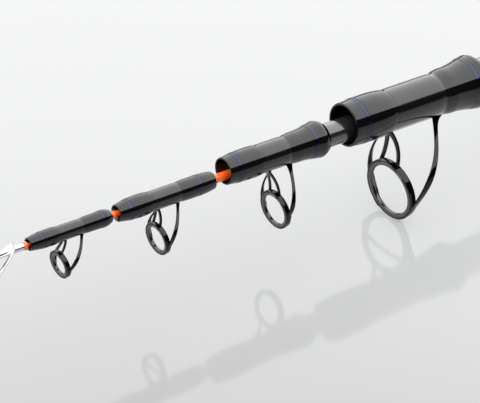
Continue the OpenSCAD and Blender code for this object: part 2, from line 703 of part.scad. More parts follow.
module lock_nut() {
    r = seat_r0 + nut_h;
    c = flute_d / 4;
    color(BLACK) difference() {
        turned_x([[seat_r0 + seat_gap, nut_x0], [r - c, nut_x0], [r, nut_x0 + c], [r, nut_x0 + nut_l - c],
            [r - c, nut_x0 + nut_l], [seat_r0 + seat_gap, nut_x0 + nut_l]]);
        for (k = [0:flutes - 1]) rotate([k * 360 / flutes, 0, 0])
            translate([nut_x0 - OVER, 0, r + flute_d / 4]) rotate([0, 90, 0])
            cylinder(h = nut_l + 2 * OVER, d = flute_d);
    }
}

screw_r = screw_d / 2;

module end_collar() {
    r = cap_d / 2;
    inner = screw_r + collar_gap;
    color(ALLOY) turned_x([[inner, end_x0], [r, end_x0], [r, grip_x0], [inner, grip_x0]]);
}

module butt_insert() {
    x1 = grip_x0 + insert_l;
    color(ALLOY) turned_x([[screw_r, grip_x0], [butt_bore_r(grip_x0), grip_x0],
        [butt_bore_r(x1), x1], [screw_r, x1]]);
}

module stop_pad() {
    x0 = grip_x0 + insert_l;
    x1 = x0 + pad_t;
    color(RUBBER) turned_x([[pad_hole_d / 2, x0], [butt_bore_r(x0), x0],
        [butt_bore_r(x1), x1], [pad_hole_d / 2, x1]]);
}

module seal_washer() {
    x1 = washer_x0 + washer_t;
    color(RUBBER) turned_x([[screw_r, washer_x0], [washer_d / 2, washer_x0],
        [washer_d / 2, x1], [screw_r, x1]]);
}

// Flange with the screw in front of it and the bumper's seat behind it
module butt_cap() {
    r = cap_d / 2;
    x0 = washer_x0 - cap_l;
    stem = screw_r - screw_gap;
    tip = grip_x0 + insert_l - OVER;
    seat = bumper_seat_d / 2;
    color(BLACK) turned_x([[0, x0 - bumper_seat_l], [seat, x0 - bumper_seat_l], [seat, x0], [r, x0],
        [r, washer_x0], [stem, washer_x0], [stem, tip - OVER], [stem - OVER, tip], [0, tip]]);
}

module cap_bumper() {
    r = cap_d / 2;
    x1 = washer_x0 - cap_l;
    x0 = x1 - bumper_t;
    seat = bumper_seat_d / 2;
    dome = [for (k = [0:STEPS]) let (a = 90 * k / STEPS) [r * sin(a), x0 + bumper_t / 2 * (1 - cos(a))]];
    color(RUBBER) turned_x(concat(dome,
        [[r, x1], [seat, x1], [seat, x1 - bumper_seat_l], [0, x1 - bumper_seat_l]]));
}

tip_blank();
tip_sleeve();
tip_top_tube();
tip_top_frame();
tip_top_ring();
second_sleeve();
for (i = COLLARED) {
    name = SECTION[i];
    color(i < FIRST_GREY ? ORANGE : SMOKE) blank(i);
    color(BLACK) ferrule(i);
    color(LACQUER) guide_wrap(i);
    color(BLACK) stop_collar(i);
    color(TRIM_BLUE) trim(i);
    color(GUN_CHROME) guide_frame(i);
    color(RING_GREY) guide_ring(i);
}
butt_blank();
butt_ferrule();
butt_trim();
front_check();
fore_grip();
seat_arbors();
seat_body();
fixed_hood();
sliding_hood();
lock_nut();
rear_check();
rear_grip();
end_collar();
butt_insert();
stop_pad();
seal_washer();
butt_cap();
cap_bumper();
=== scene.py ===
"""Looks of the telescopic rod: lacquered collars, line guides, grips and reel seat."""
import math

import bmesh
import bpy
from bpy.props import (FloatProperty, FloatVectorProperty, IntProperty, PointerProperty,
                       StringProperty)
from bpy.types import Operator, Panel, PropertyGroup
from mathutils import Matrix, Vector


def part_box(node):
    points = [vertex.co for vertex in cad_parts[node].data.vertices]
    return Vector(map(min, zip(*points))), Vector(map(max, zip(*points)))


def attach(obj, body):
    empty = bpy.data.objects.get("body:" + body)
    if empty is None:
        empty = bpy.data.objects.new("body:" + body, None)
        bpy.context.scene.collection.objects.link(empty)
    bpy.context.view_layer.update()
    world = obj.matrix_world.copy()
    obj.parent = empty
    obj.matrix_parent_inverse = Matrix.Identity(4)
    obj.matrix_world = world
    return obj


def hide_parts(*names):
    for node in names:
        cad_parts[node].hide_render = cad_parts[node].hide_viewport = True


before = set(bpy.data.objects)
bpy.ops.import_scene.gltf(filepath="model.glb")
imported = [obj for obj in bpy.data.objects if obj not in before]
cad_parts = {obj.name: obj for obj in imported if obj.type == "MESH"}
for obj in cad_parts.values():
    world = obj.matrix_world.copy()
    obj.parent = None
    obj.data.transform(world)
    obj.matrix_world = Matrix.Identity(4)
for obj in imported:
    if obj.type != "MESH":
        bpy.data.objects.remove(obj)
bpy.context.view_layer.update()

bl_info = {
    "name": "Telescopic rod dresser",
    "version": (1, 0, 0),
    "blender": (4, 5, 0),
    "location": "View3D > Sidebar > Rod",
    "description": "Dresses the packed telescopic rod with its finished pieces and its stage",
    "category": "Object",
}

MM = 0.001
# The collared sections from the tip back, as the sizes with four numbers list them
SECTIONS = ("second", "third", "fourth", "fifth")
ORANGE = ("second", "third")
FIFTH = SECTIONS.index("fifth")
# Place of the handle section in the sizes with six numbers
BUTT = 5
# Facets round a turned piece, and the radius below which its outline meets the axis
AROUND = 128
POLE = 1e-6
# Degrees from which an edge stays sharp
CREASE = 35
STRIP_CREASE = 50
HOOD_CREASE = 30
# Broken edge of a turned alloy piece: distance from its face and depth, in millimetres
BROKEN_EDGE = ((0.0, 0.8), (0.25, 0.25), (0.8, 0.0))


def srgb(code):
    """Linear colour from an sRGB hex code."""
    parts = [int(code.lstrip("#")[k:k + 2], 16) / 255 for k in (0, 2, 4)]
    linear = [c / 12.92 if c <= 0.04045 else ((c + 0.055) / 1.055) ** 2.4 for c in parts]
    return (*linear, 1.0)


def one_size(name, description, default):
    """One size, in its group's measure."""
    return FloatProperty(name=name, description=description, default=default)


def sizes_of_four(name, description, default):
    """One size for each collared section, in its group's measure."""
    return FloatVectorProperty(name=name, description=description, size=4, default=default)


class RodBlankSizes(PropertyGroup):
    """Tapered blanks, in millimetres."""
    skin_r: FloatVectorProperty(name="Skin radius", size=6,
                                default=(0.65, 1.137, 1.623, 4.813, 8.203, 11.693),
                                description="Radius at the thin end, from the tip to the handle")
    slope: FloatVectorProperty(name="Taper", size=6, precision=5,
                               default=(0.0002, 0.0002, 0.003, 0.003, 0.003, 0.003),
                               description="Growth of the radius for each millimetre of length")
    wall: FloatVectorProperty(name="Wall", size=6, default=(0.0, 0.3, 0.3, 1.1, 1.3, 1.4),
                              description="Wall at the thin end, none for the solid tip")
    tip_l: one_size("Tip length", "Length of the tip blank", 760.0)
    section_l: one_size("Section length", "Length of each collared blank", 755.0)


class RodCollarSizes(PropertyGroup):
    """Lacquered collars, in millimetres."""
    lip_h: sizes_of_four("Lip", "Height of the mouth's lip over the blank", (1.35, 1.7, 0.6, 0.8))
    swell_h: sizes_of_four("Swell", "Height of the ferrule's fullest point",
                           (2.15, 2.75, 1.35, 1.35))
    wrap_h: sizes_of_four("Wrap", "Height of the guide wrap", (1.9, 2.25, 1.0, 0.55))
    rear_h: sizes_of_four("Rear", "Height behind the stop collar's seam", (2.05, 2.4, 1.35, 1.25))
    flare_h: sizes_of_four("Flare", "Height of the stop collar's flare", (2.2, 2.35, 2.55, 3.0))
    end_h: sizes_of_four("End", "Height of the stop collar's end face", (1.35, 1.75, 1.3, 1.8))
    swell_s: sizes_of_four("Swell place", "Distance from the mouth to the fullest point",
                           (8.0, 9.5, 10.5, 12.6))
    shoulder_l: sizes_of_four("Shoulder", "Length from the fullest point to the wrap",
                              (4.5, 5.8, 6.0, 9.2))
    wrap_l: sizes_of_four("Wrap length", "Length of the guide wrap", (10.1, 12.3, 12.6, 25.6))
    rise_l: sizes_of_four("Rise", "Length of the stop collar's front rise", (3.7, 4.5, 5.8, 6.0))
    flare_l: sizes_of_four("Flare length", "Length from that rise to the flare",
                           (6.0, 6.0, 10.2, 13.9))
    tail_l: sizes_of_four("Tail", "Length from the flare to the end face", (3.3, 5.9, 3.3, 2.7))
    rim_t: sizes_of_four("Rim", "Thickness of the rim round the mouth", (0.5, 0.5, 0.55, 0.8))
    sink_l: sizes_of_four("Countersink", "Depth of the countersink in the mouth",
                          (3.0, 3.0, 4.0, 5.0))
    band_s: sizes_of_four("Front band", "Distance from the mouth to the front trim",
                          (4.2, 3.7, 3.6, 4.5))
    band_back: sizes_of_four("Rear band", "Distance from the flare forward to the rear trim",
                             (0.2, 0.4, 2.7, 2.4))
    band_w: sizes_of_four("Band width", "Width of a trim band", (1.4, 1.8, 2.2, 2.4))
    butt_band_w: one_size("Handle band", "Width of a trim band on the handle", 2.4)
    thread_d: one_size("Thread", "Thickness of the trim thread", 0.27)
    step_h: sizes_of_four("Step", "Height of the varnish step at a collar's seam",
                          (0.14, 0.16, 0.18, 0.25))
    step_w: sizes_of_four("Step width", "Length of that step's round edge", (1.5, 1.7, 2.0, 2.6))


class RodGuideSizes(PropertyGroup):
    """Line guides, in millimetres, with sweeps in parts of the hoop's radius."""
    hoop_d: sizes_of_four("Hoop", "Outside diameter of the hoop", (11.2, 13.4, 16.4, 26.6))
    hoop_t: one_size("Hoop wall", "Wall of the hoop", 0.8)
    hoop_w: sizes_of_four("Hoop width", "Width of the hoop along the rod", (1.8, 1.9, 2.1, 2.8))
    ring_wall: sizes_of_four("Ring wall", "Radial wall of the hard ring", (1.2, 1.1, 1.3, 1.8))
    ring_w: sizes_of_four("Ring width", "Width of the hard ring", (1.3, 1.4, 1.5, 1.7))
    ring_s: sizes_of_four("Ring place", "Distance from the mouth to the ring",
                          (12.8, 17.85, 24.35, 24.3))
    ring_drop: sizes_of_four("Ring drop", "Distance from the axis down to the ring",
                             (11.95, 15.85, 23.3, 34.8))
    lean: FloatProperty(name="Lean", default=math.radians(8), subtype="ANGLE",
                        description="Lean of the ring")
    foot_w: sizes_of_four("Foot width", "Width of the foot strip", (1.8, 2.2, 3.0, 4.2))
    foot_t: sizes_of_four("Foot", "Thickness of the foot strip", (0.7, 0.7, 0.9, 1.0))
    toe_l: sizes_of_four("Toe", "Length of the toe under the ferrule", (4.0, 5.0, 6.0, 8.0))
    heel_l: sizes_of_four("Heel", "Length of the heel under the stop collar", (3.0, 4.0, 5.0, 6.0))
    toe_t: one_size("Toe end", "Thickness of the ground toe and heel", 0.3)
    leg_t: sizes_of_four("Leg", "Thickness of the legs", (0.7, 0.75, 0.8, 1.0))
    front_s: sizes_of_four("Front foot", "Distance from the mouth to the front leg",
                           (15.7, 17.7, 20.4, 23.2))
    arch_w: sizes_of_four("Arch", "Width of each side of the front leg", (0.9, 1.0, 1.1, 1.7))
    part_share: one_size("Parting", "Share of the front leg that is one stem", 0.12)
    front_bow: one_size("Front bow", "Bow of the front leg to the rear, per hoop diameter", 0.065)
    spread_share: one_size("Spread", "Height of the bend where the sides spread", 0.55)
    arch_angle: FloatProperty(name="Arch angle", default=math.radians(27), subtype="ANGLE",
                              description="Angle from the hoop's top to each side of the arch")
    rear_s: sizes_of_four("Rear foot", "Distance from the mouth to the rear legs",
                          (23.2, 27.9, 31.3, 49.0))
    rear_w: sizes_of_four("Rear leg", "Width of a rear leg", (1.0, 1.05, 1.2, 1.6))
    rear_root_w: sizes_of_four("Rear root", "Width of a rear leg at the hoop",
                               (1.7, 1.9, 2.2, 3.2))
    rear_angle: sizes_of_four("Rear angle", "Degrees from the hoop's top to a rear leg's root",
                              (106.0, 105.0, 93.0, 114.0))
    root_lap: FloatProperty(name="Root lap", default=math.radians(28), subtype="ANGLE",
                            description="Angle over which a rear leg's root lies in the hoop")
    rear_turn: FloatProperty(name="Rear turn", default=math.radians(37), subtype="ANGLE",
                             description="Turn of a rear leg's face away from the rod's side")
    knee_back: sizes_of_four("Knee back", "Sweep of the lower half, back", (0.8, 0.34, 0.16, 0.42))
    knee_out: sizes_of_four("Knee out", "Sweep of the lower half, out", (1.78, 1.88, 1.52, 2.15))
    knee_up: sizes_of_four("Knee up", "Sweep of the lower half, up", (1.1, 1.35, 0.83, 1.36))
    heel_back: sizes_of_four("Heel back", "Sweep of the upper half, back",
                             (0.85, 0.88, 0.48, 0.59))
    heel_out: sizes_of_four("Heel out", "Sweep of the upper half, out", (0.2, 0.1, 0.9, 0.63))
    heel_up: sizes_of_four("Heel up", "Sweep of the upper half, up", (0.8, 0.73, 0.84, 0.9))


class RodTipTopSizes(PropertyGroup):
    """Tip top, in millimetres."""
    tube_d: one_size("Tube", "Outside diameter of the tube", 2.8)
    tube_l: one_size("Tube length", "Length of the tube", 14.0)
    sleeve_d: one_size("Sleeve", "Diameter of the orange sleeve", 3.1)
    sleeve_l: one_size("Sleeve length", "Length of the orange sleeve", 1.6)
    hoop_d: one_size("Hoop", "Outside diameter of the hoop", 11.0)
    hoop_w: one_size("Hoop width", "Width of the hoop", 1.8)
    ring_wall: one_size("Ring wall", "Radial wall of the hard ring", 1.0)
    ring_w: one_size("Ring width", "Width of the hard ring", 1.8)
    lean: FloatProperty(name="Lean", default=math.radians(25), subtype="ANGLE",
                        description="Lean of the hoop")
    brace_d: one_size("Brace", "Thickness of a brace", 1.1)
    brace_s: one_size("Brace place", "Distance from the tube's rear to the braces", 5.0)


class RodHandleSizes(PropertyGroup):
    """Grips, reel seat and butt end, in millimetres."""
    shoulder_l: one_size("Grip shoulder", "Length of a grip's round shoulder", 9.0)
    shoulder_h: one_size("Shoulder drop", "Drop of a grip's round shoulder", 1.6)
    seat_wall: one_size("Seat wall", "Wall of the seat's body", 1.6)
    seat_pitch: one_size("Seat pitch", "Pitch of the lock nut's thread", 3.0)
    seat_thread: one_size("Seat thread", "Depth of the lock nut's thread", 0.55)
    hood_wall: one_size("Hood wall", "Wall of the hoods", 1.8)
    hood_gap: one_size("Hood play", "Running play of the sliding hood", 0.05)
    pocket_w: one_size("Pocket width", "Width of the reel foot's pocket", 14.5)
    pocket_h: one_size("Pocket depth", "Depth of the reel foot's pocket", 4.8)
    pocket_end: one_size("Pocket end", "Wall that closes a pocket", 3.0)
    key_w: one_size("Keyway width", "Width of the keyway", 3.0)
    key_h: one_size("Keyway depth", "Depth of the keyway", 0.7)
    flutes: IntProperty(name="Flutes", default=18, description="Finger flutes in the lock nut")
    flute_d: one_size("Flute", "Diameter of a finger flute", 4.0)
    screw_r: one_size("Screw", "Radius of the butt cap's screw", 8.0)
    screw_pitch: one_size("Screw pitch", "Pitch of the butt cap's screw", 2.0)
    cap_l: one_size("Cap flange", "Thickness of the butt cap's flange", 12.0)
    cap_ribs: IntProperty(name="Cap ribs", default=60, description="Grip ribs round the butt cap")
    rib_d: one_size("Rib", "Diameter of a grip rib", 0.9)


class RodStageSettings(PropertyGroup):
    """Camera, floor and light."""
    azimuth: FloatProperty(name="Azimuth", default=math.radians(53.214), subtype="ANGLE",
                           description="Camera's turn from the tip towards the near side")
    elevation: FloatProperty(name="Elevation", default=math.radians(24.272), subtype="ANGLE",
                             description="Camera's height as an angle")
    roll: FloatProperty(name="Roll", default=math.radians(-2.653), subtype="ANGLE",
                        description="Camera's roll")
    distance: FloatProperty(name="Distance", default=0.78277, unit="LENGTH",
                            description="Camera's distance")
    target: FloatVectorProperty(name="Target", default=(0.83886, 0.0457, 0.00734), subtype="XYZ",
                                description="Point in the middle of the picture")
    lens: FloatProperty(name="Lens", default=165.0,
                        description="Focal length on a 36 mm sensor, in millimetres")
    panel_power: FloatProperty(name="Panel", default=202.0,
                               description="Power of the ceiling panel, in watts")
    panel_size: FloatVectorProperty(name="Panel size", size=2, default=(6.5, 3.95), unit="LENGTH",
                                    description="Length and width of the ceiling panel")
    panel_place: FloatVectorProperty(name="Panel place", default=(0.25, -0.525, 0.85),
                                     subtype="XYZ", description="Middle of the ceiling panel")
    # Painted glow of the floor: it lightens the floor and the shadows on it
    painted_floor_glow: FloatProperty(name="Sheet", default=0.43,
                              description="Light that comes up through the floor sheet")
    floor_pitch: FloatProperty(name="Floor pitch", default=0.025,
                               description="Fall of the floor towards the tip")
    floor_roll: FloatProperty(name="Floor roll", default=-0.178,
                              description="Rise of the floor to the near side")


class RodColours(PropertyGroup):
    """Finishes, as sRGB codes."""
    lacquer: StringProperty(name="Lacquer", default="#08080a",
                            description="Black lacquer of the collars")
    orange: StringProperty(name="Orange", default="#ff6a2a", description="Thin blanks")
    smoke: StringProperty(name="Smoke", default="#222326", description="Thick blanks")
    trim: StringProperty(name="Trim", default="#3d4053", description="Trim thread")
    accent: StringProperty(name="Accent", default="#5a617c",
                           description="Single turn in the middle of a trim")
    plate: StringProperty(name="Plate", default="#343437",
                          description="Black chrome of the guides")
    foam: StringProperty(name="Foam", default="#202022", description="Foam of the grips")
    alloy: StringProperty(name="Alloy", default="#9a9da3", description="Anodised alloy")


class RodSettings(PropertyGroup):
    """Everything that a user of the rod may change."""
    blanks: PointerProperty(type=RodBlankSizes)
    collars: PointerProperty(type=RodCollarSizes)
    guides: PointerProperty(type=RodGuideSizes)
    tip_top: PointerProperty(type=RodTipTopSizes)
    handle: PointerProperty(type=RodHandleSizes)
    stage: PointerProperty(type=RodStageSettings)
    colours: PointerProperty(type=RodColours)


def rod():
    """Settings of the rod in this scene."""
    return bpy.context.scene.rod_settings


# Curves, and the outlines that the solids and the looks share

def level_off(a, b, t):
    """From a to b, steep at first and level at the end."""
    return a + (b - a) * math.sin(math.pi / 2 * t)


def turn_out(a, b, t):
    """From a to b, level at first and steep at the end."""
    return a + (b - a) * (1 - math.cos(math.pi / 2 * t))


def ease(a, b, t):
    """From a to b, level at both ends."""
    return a + (b - a) * (1 - math.cos(math.pi * t)) / 2


def bezier(a, b, c, t):
    """Point of a curve with one bend."""
    return (1 - t) * (1 - t) * a + 2 * t * (1 - t) * b + t * t * c


def cubic(a, b, c, d, t):
    """Point of a curve with two bends."""
    return (1 - t) * bezier(a, b, c, t) + t * bezier(b, c, d, t)


def shares(steps):
    """Even shares from 0 to 1."""
    return [j / steps for j in range(steps + 1)]


def quarter(steps=6):
    """Angles over a quarter turn."""
    return [math.pi / 2 * u for u in shares(steps)]


def even_angles(count):
    """Angles over a full turn, without its end."""
    return [2 * math.pi * j / count for j in range(count)]


def placed(x=0.0, z=0.0):
    """Function that sets a point on an axis at height z, with X counted from x."""
    return lambda p: Vector((x + p[0], p[1], z + p[2]))


def front_of(node):
    """Front end along X and height of the axis of a turned node, in millimetres."""
    low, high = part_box(node)
    return high[0] / MM, (low[2] + high[2]) / 2 / MM


def span(node):
    """Ends along X and radius of a turned node, in millimetres."""
    low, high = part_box(node)
    return low[0] / MM, high[0] / MM, high[1] / MM


def butt_skin(x):
    """Radius of the handle section's blank at a place along X."""
    blanks = rod().blanks
    return blanks.skin_r[BUTT] + blanks.slope[BUTT] * (span("butt_blank")[1] - x)


class Section:
    """Places and outline of one collared section, counted from the tip, in millimetres."""

    def __init__(self, k):
        self.k = k
        self.mouth, self.z = front_of(SECTIONS[k] + "_ferrule")
        # Takes a point of the section's frame, with X counted from the mouth, to the part's
        self.place = placed(self.mouth, self.z)
        blanks, c = rod().blanks, rod().collars
        self.r0, self.slope = blanks.skin_r[k + 1], blanks.slope[k + 1]
        self.bore_r0, self.inner_slope = self.r0 - blanks.wall[k + 1], blanks.slope[k]
        self.neck = c.swell_s[k] + c.shoulder_l[k]
        self.seam = self.neck + c.wrap_l[k]
        self.flare = self.seam + c.rise_l[k] + c.flare_l[k]
        self.end = self.flare + c.tail_l[k]
        self.length = blanks.section_l

    def skin(self, s):
        """Radius of the blank at a distance from the mouth."""
        return self.r0 + self.slope * s

    def bore(self, s):
        """Radius of the bore at a distance from the mouth."""
        return self.bore_r0 + self.inner_slope * s

    def height(self, s):
        """Height of the collars over the blank at a distance from the mouth."""
        c, k = rod().collars, self.k
        if s <= c.swell_s[k]:
            return level_off(c.lip_h[k], c.swell_h[k], s / c.swell_s[k])
        if s <= self.neck:
            return ease(c.swell_h[k], c.wrap_h[k], (s - c.swell_s[k]) / c.shoulder_l[k])
        if s <= self.seam:
            return c.wrap_h[k]
        u = s - self.seam
        if u <= c.rise_l[k]:
            return ease(c.wrap_h[k], c.rear_h[k], u / c.rise_l[k])
        u -= c.rise_l[k]
        if u <= c.flare_l[k]:
            return turn_out(c.rear_h[k], c.flare_h[k], u / c.flare_l[k])
        return turn_out(c.flare_h[k], c.end_h[k], min(1.0, (u - c.flare_l[k]) / c.tail_l[k]))

    def collar(self, s):
        """Radius of the collars at a distance from the mouth."""
        return self.skin(s) + self.height(s)

    def along(self, a, b, steps):
        """The collars' outline from one distance to another."""
        return [(s, self.collar(s)) for s in (a + (b - a) * u for u in shares(steps))]


# Mesh making

def face_out(mesh):
    """Turn every shell's faces outward."""
    shell = bmesh.new()
    shell.from_mesh(mesh)
    bmesh.ops.recalc_face_normals(shell, faces=shell.faces)
    shell.to_mesh(mesh)
    shell.free()


def settle(name, mesh, body, node=None):
    """Object for a finished mesh, riding on a body and standing for a node."""
    piece = bpy.data.objects.new(name, mesh)
    bpy.context.scene.collection.objects.link(piece)
    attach(piece, body)
    if node:
        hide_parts(node)


def dress(node, shape, slot, body, look=None, crease=CREASE):
    """Piece that stands for a node, from points in millimetres, smooth but for its creases."""
    name = look or node + "_look"
    verts, faces = shape
    mesh = bpy.data.meshes.new(name)
    mesh.from_pydata([Vector(v) * MM for v in verts], [], faces)
    mesh.validate()
    face_out(mesh)
    mesh.shade_smooth()
    mesh.set_sharp_from_angle(angle=math.radians(crease))
    mesh.materials.append(finish(slot))
    settle(name, mesh, body, node)


def stitch(rings, closed=False):
    """Faces between rings of point numbers. A pole is a ring of one number."""
    faces = []
    for first, second in zip(rings, rings[1:] + (rings[:1] if closed else [])):
        count = len(first)
        for j in range(count):
            n = (j + 1) % count
            face = list(dict.fromkeys((first[j], first[n], second[n], second[j])))
            if len(face) > 2:
                faces.append(face)
    return faces


def lathe(profile, to_part, closed=True):
    """Turned shape from (place along X, radius) points, as points of the part and faces."""
    verts, rings = [], []
    for x, r in profile:
        first = len(verts)
        if r < POLE:
            rings.append([first] * AROUND)
            verts.append(to_part((x, 0, 0)))
            continue
        rings.append(list(range(first, first + AROUND)))
        verts.extend(to_part((x, r * math.sin(a), r * math.cos(a))) for a in even_angles(AROUND))
    return verts, stitch(rings, closed)


def numbered(rings):
    """Points of equal rings in one list, and the rings as numbers in it."""
    count = len(rings[0])
    numbers = [list(range(i * count, (i + 1) * count)) for i in range(len(rings))]
    return [p for ring in rings for p in ring], numbers


def loft(rings):
    """Skin over rings of points, with the ends closed."""
    verts, numbers = numbered(rings)
    return verts, stitch(numbers) + [numbers[0][::-1], numbers[-1]]


def about_axis(stations, angles):
    """Closed shape about the X axis, from stations: a place along X and a radius by angle."""
    verts, numbers = numbered([
        [Vector((x, radius(a) * math.sin(a), radius(a) * math.cos(a))) for a in angles]
        for x, radius in stations])
    return verts, stitch(numbers, closed=True)


def even(radius):
    """The same radius at every angle."""
    return lambda a: radius


def directions(path):
    """Direction of a path at each of its points."""
    last = len(path) - 1
    return [(path[min(i + 1, last)] - path[max(i - 1, 0)]).normalized() for i in range(last + 1)]


def sweep(path, widths, thicknesses, wides, around=20, square=0.5):
    """Strip with round edges along a path, its width lying in a direction for each point."""
    rings = []
    for p, along, width, thick, wide in zip(path, directions(path), widths, thicknesses, wides):
        w = (wide - along * wide.dot(along)).normalized()
        up = along.cross(w)
        ring = []
        for a in even_angles(around):
            c, s = math.cos(a), math.sin(a)
            ring.append(p + w * (width / 2 * math.copysign(abs(c) ** square, c))
                        + up * (thick / 2 * math.copysign(abs(s) ** square, s)))
        rings.append(ring)
    return loft(rings)


def joined(*shapes):
    """One list of points and faces from several."""
    verts, faces = [], []
    for v, f in shapes:
        base = len(verts)
        verts.extend(v)
        faces.extend([[base + j for j in face] for face in f])
    return verts, faces


def rounded_bar(x0, x1, r_in, r_out, c):
    """Profile of a turned ring with round outer edges, as (X, radius) points."""
    back = [(x0 + c - c * math.cos(a), r_out - c + c * math.sin(a)) for a in quarter()]
    front = [(x1 - c + c * math.sin(a), r_out - c + c * math.cos(a)) for a in quarter()]
    return [(x0, r_in)] + back + front + [(x1, r_in)]


def broken_edges(x0, x1, edge, between=()):
    """Places and cuts of an outline: a broken edge, what lies between, and the same edge."""
    back = [(x0 + x, cut) for x, cut in edge]
    front = [(x1 - x, cut) for x, cut in reversed(edge)]
    return back + list(between) + front


# Materials

def feed(tree, node, inputs):
    """Set inputs by name, or by number as in _0: a value, or another node's output socket."""
    for key, value in inputs.items():
        number = key[1:]
        socket = node.inputs[int(number) if number.isdigit() else key.replace("_", " ")]
        if isinstance(value, bpy.types.NodeSocket):
            tree.links.new(value, socket)
        else:
            socket.default_value = value


def add(tree, kind, settings=None, **inputs):
    """Node with its settings and inputs."""
    node = tree.nodes.new(kind)
    for key, value in (settings or {}).items():
        setattr(node, key, value)
    feed(tree, node, inputs)
    return node


def material(name):
    """New material, its tree, and the socket of the piece's own coordinates."""
    made = bpy.data.materials.new(name)
    made.use_nodes = True
    tree = made.node_tree
    return made, tree, add(tree, "ShaderNodeTexCoord").outputs["Object"]


def shaded(made, **inputs):
    """The material, with its shader's inputs set."""
    feed(made.node_tree, made.node_tree.nodes["Principled BSDF"], inputs)
    return made


def wave_scale(spacing):
    """Scale that sets a wave texture's bands a number of millimetres apart."""
    radians_per_unit = 20
    return 2 * math.pi / radians_per_unit / (spacing * MM)


def make_lacquer():
    """Sprayed polyurethane over black: near mirror gloss, with a trace of orange peel."""
    made, tree, where = material("Black lacquer")
    peel = add(tree, "ShaderNodeTexNoise", Vector=where, Scale=1 / (4.0 * MM), Detail=1.0)
    bump = add(tree, "ShaderNodeBump", Height=peel.outputs["Fac"], Strength=0.012,
               Distance=0.5 * MM)
    return shaded(made, Base_Color=srgb(rod().colours.lacquer), Roughness=0.04, IOR=1.55,
                  Normal=bump.outputs["Normal"])


def make_wrap():
    """Nylon whipping under clear epoxy: a faint rib from the thread and a warm black."""
    made, tree, where = material("Whipping under epoxy")
    # The thread is 0.2 mm thick; its turns are drawn 0.6 mm apart so that they show
    turns = add(tree, "ShaderNodeTexWave", {"bands_direction": "X", "wave_profile": "SIN"},
                Vector=where, Scale=wave_scale(0.6))
    tint = add(tree, "ShaderNodeMix", {"data_type": "RGBA"}, _0=turns.outputs["Fac"],
               _6=srgb("#080706"), _7=srgb("#100d0b"))
    bump = add(tree, "ShaderNodeBump", Height=turns.outputs["Fac"], Strength=0.05,
               Distance=0.1 * MM)
    return shaded(made, Base_Color=tint.outputs[2], Roughness=0.16, IOR=1.5, Coat_Weight=0.5,
                  Coat_Roughness=0.03, Coat_IOR=1.5, Normal=bump.outputs["Normal"])


def make_blank(name, base, deep, coat):
    """Carbon cloth under tinted gloss: its spiral tape shows as faint slanting bands."""
    made, tree, where = material(name)
    slant = add(tree, "ShaderNodeMapping", Vector=where, Rotation=(0, math.radians(25), 0))
    tape = add(tree, "ShaderNodeTexWave", {"bands_direction": "X", "wave_profile": "SAW"},
               Vector=slant.outputs["Vector"], Scale=wave_scale(5.0), Distortion=0.4)
    grain = add(tree, "ShaderNodeTexNoise", Vector=where, Scale=1 / (1.2 * MM), Detail=2.0)
    both = add(tree, "ShaderNodeMath", {"operation": "MULTIPLY"}, _0=tape.outputs["Fac"],
               _1=grain.outputs["Fac"])
    tint = add(tree, "ShaderNodeMix", {"data_type": "RGBA"}, _0=both.outputs[0], _6=srgb(base),
               _7=srgb(deep))
    return shaded(made, Base_Color=tint.outputs[2], Roughness=0.25, IOR=1.5, Coat_Weight=coat,
                  Coat_Roughness=0.04, Coat_IOR=1.7)


def make_plated(name, code, roughness):
    """Polished plate over pressed steel: a mirror with a faint uneven sheen."""
    made, tree, where = material(name)
    sheen = add(tree, "ShaderNodeTexNoise", Vector=where, Scale=1 / (2.0 * MM), Detail=2.0)
    spread = add(tree, "ShaderNodeMapRange", Value=sheen.outputs["Fac"], To_Min=roughness * 0.7,
                 To_Max=roughness * 1.3)
    return shaded(made, Base_Color=srgb(code), Metallic=1.0, Roughness=spread.outputs["Result"])


def make_ceramic():
    """Lapped zirconia: dense, dark and glassy."""
    made, tree, where = material("Lapped ceramic")
    grain = add(tree, "ShaderNodeTexNoise", Vector=where, Scale=1 / (0.8 * MM), Detail=3.0)
    tint = add(tree, "ShaderNodeMix", {"data_type": "RGBA"}, _0=grain.outputs["Fac"],
               _6=srgb("#0e0e10"), _7=srgb("#161618"))
    return shaded(made, Base_Color=tint.outputs[2], Roughness=0.05, IOR=1.9)


def make_thread(name, code, deep):
    """Metallised trim thread under varnish: a dark shine, broken by the twist."""
    made, tree, where = material(name)
    twist = add(tree, "ShaderNodeTexNoise", Vector=where, Scale=1 / (0.7 * MM), Detail=2.0)
    tint = add(tree, "ShaderNodeMix", {"data_type": "RGBA"}, _0=twist.outputs["Fac"],
               _6=srgb(deep), _7=srgb(code))
    return shaded(made, Base_Color=tint.outputs[2], Metallic=1.0, Roughness=0.12)


def make_foam():
    """Closed cell EVA foam, ground to size: matt, with fine open pores."""
    made, tree, where = material("Ground foam")
    # Pores are about 0.3 mm; drawn at 0.9 mm so that they show
    pores = add(tree, "ShaderNodeTexVoronoi", {"feature": "F1"}, Vector=where,
                Scale=1 / (0.9 * MM))
    mottle = add(tree, "ShaderNodeTexNoise", Vector=where, Scale=1 / (6.0 * MM), Detail=3.0)
    tint = add(tree, "ShaderNodeMix", {"data_type": "RGBA"}, _0=mottle.outputs["Fac"],
               _6=srgb("#18181a"), _7=srgb(rod().colours.foam))
    bump = add(tree, "ShaderNodeBump", Height=pores.outputs["Distance"], Strength=0.35,
               Distance=0.15 * MM)
    return shaded(made, Base_Color=tint.outputs[2], Roughness=0.88, IOR=1.45,
                  Normal=bump.outputs["Normal"])


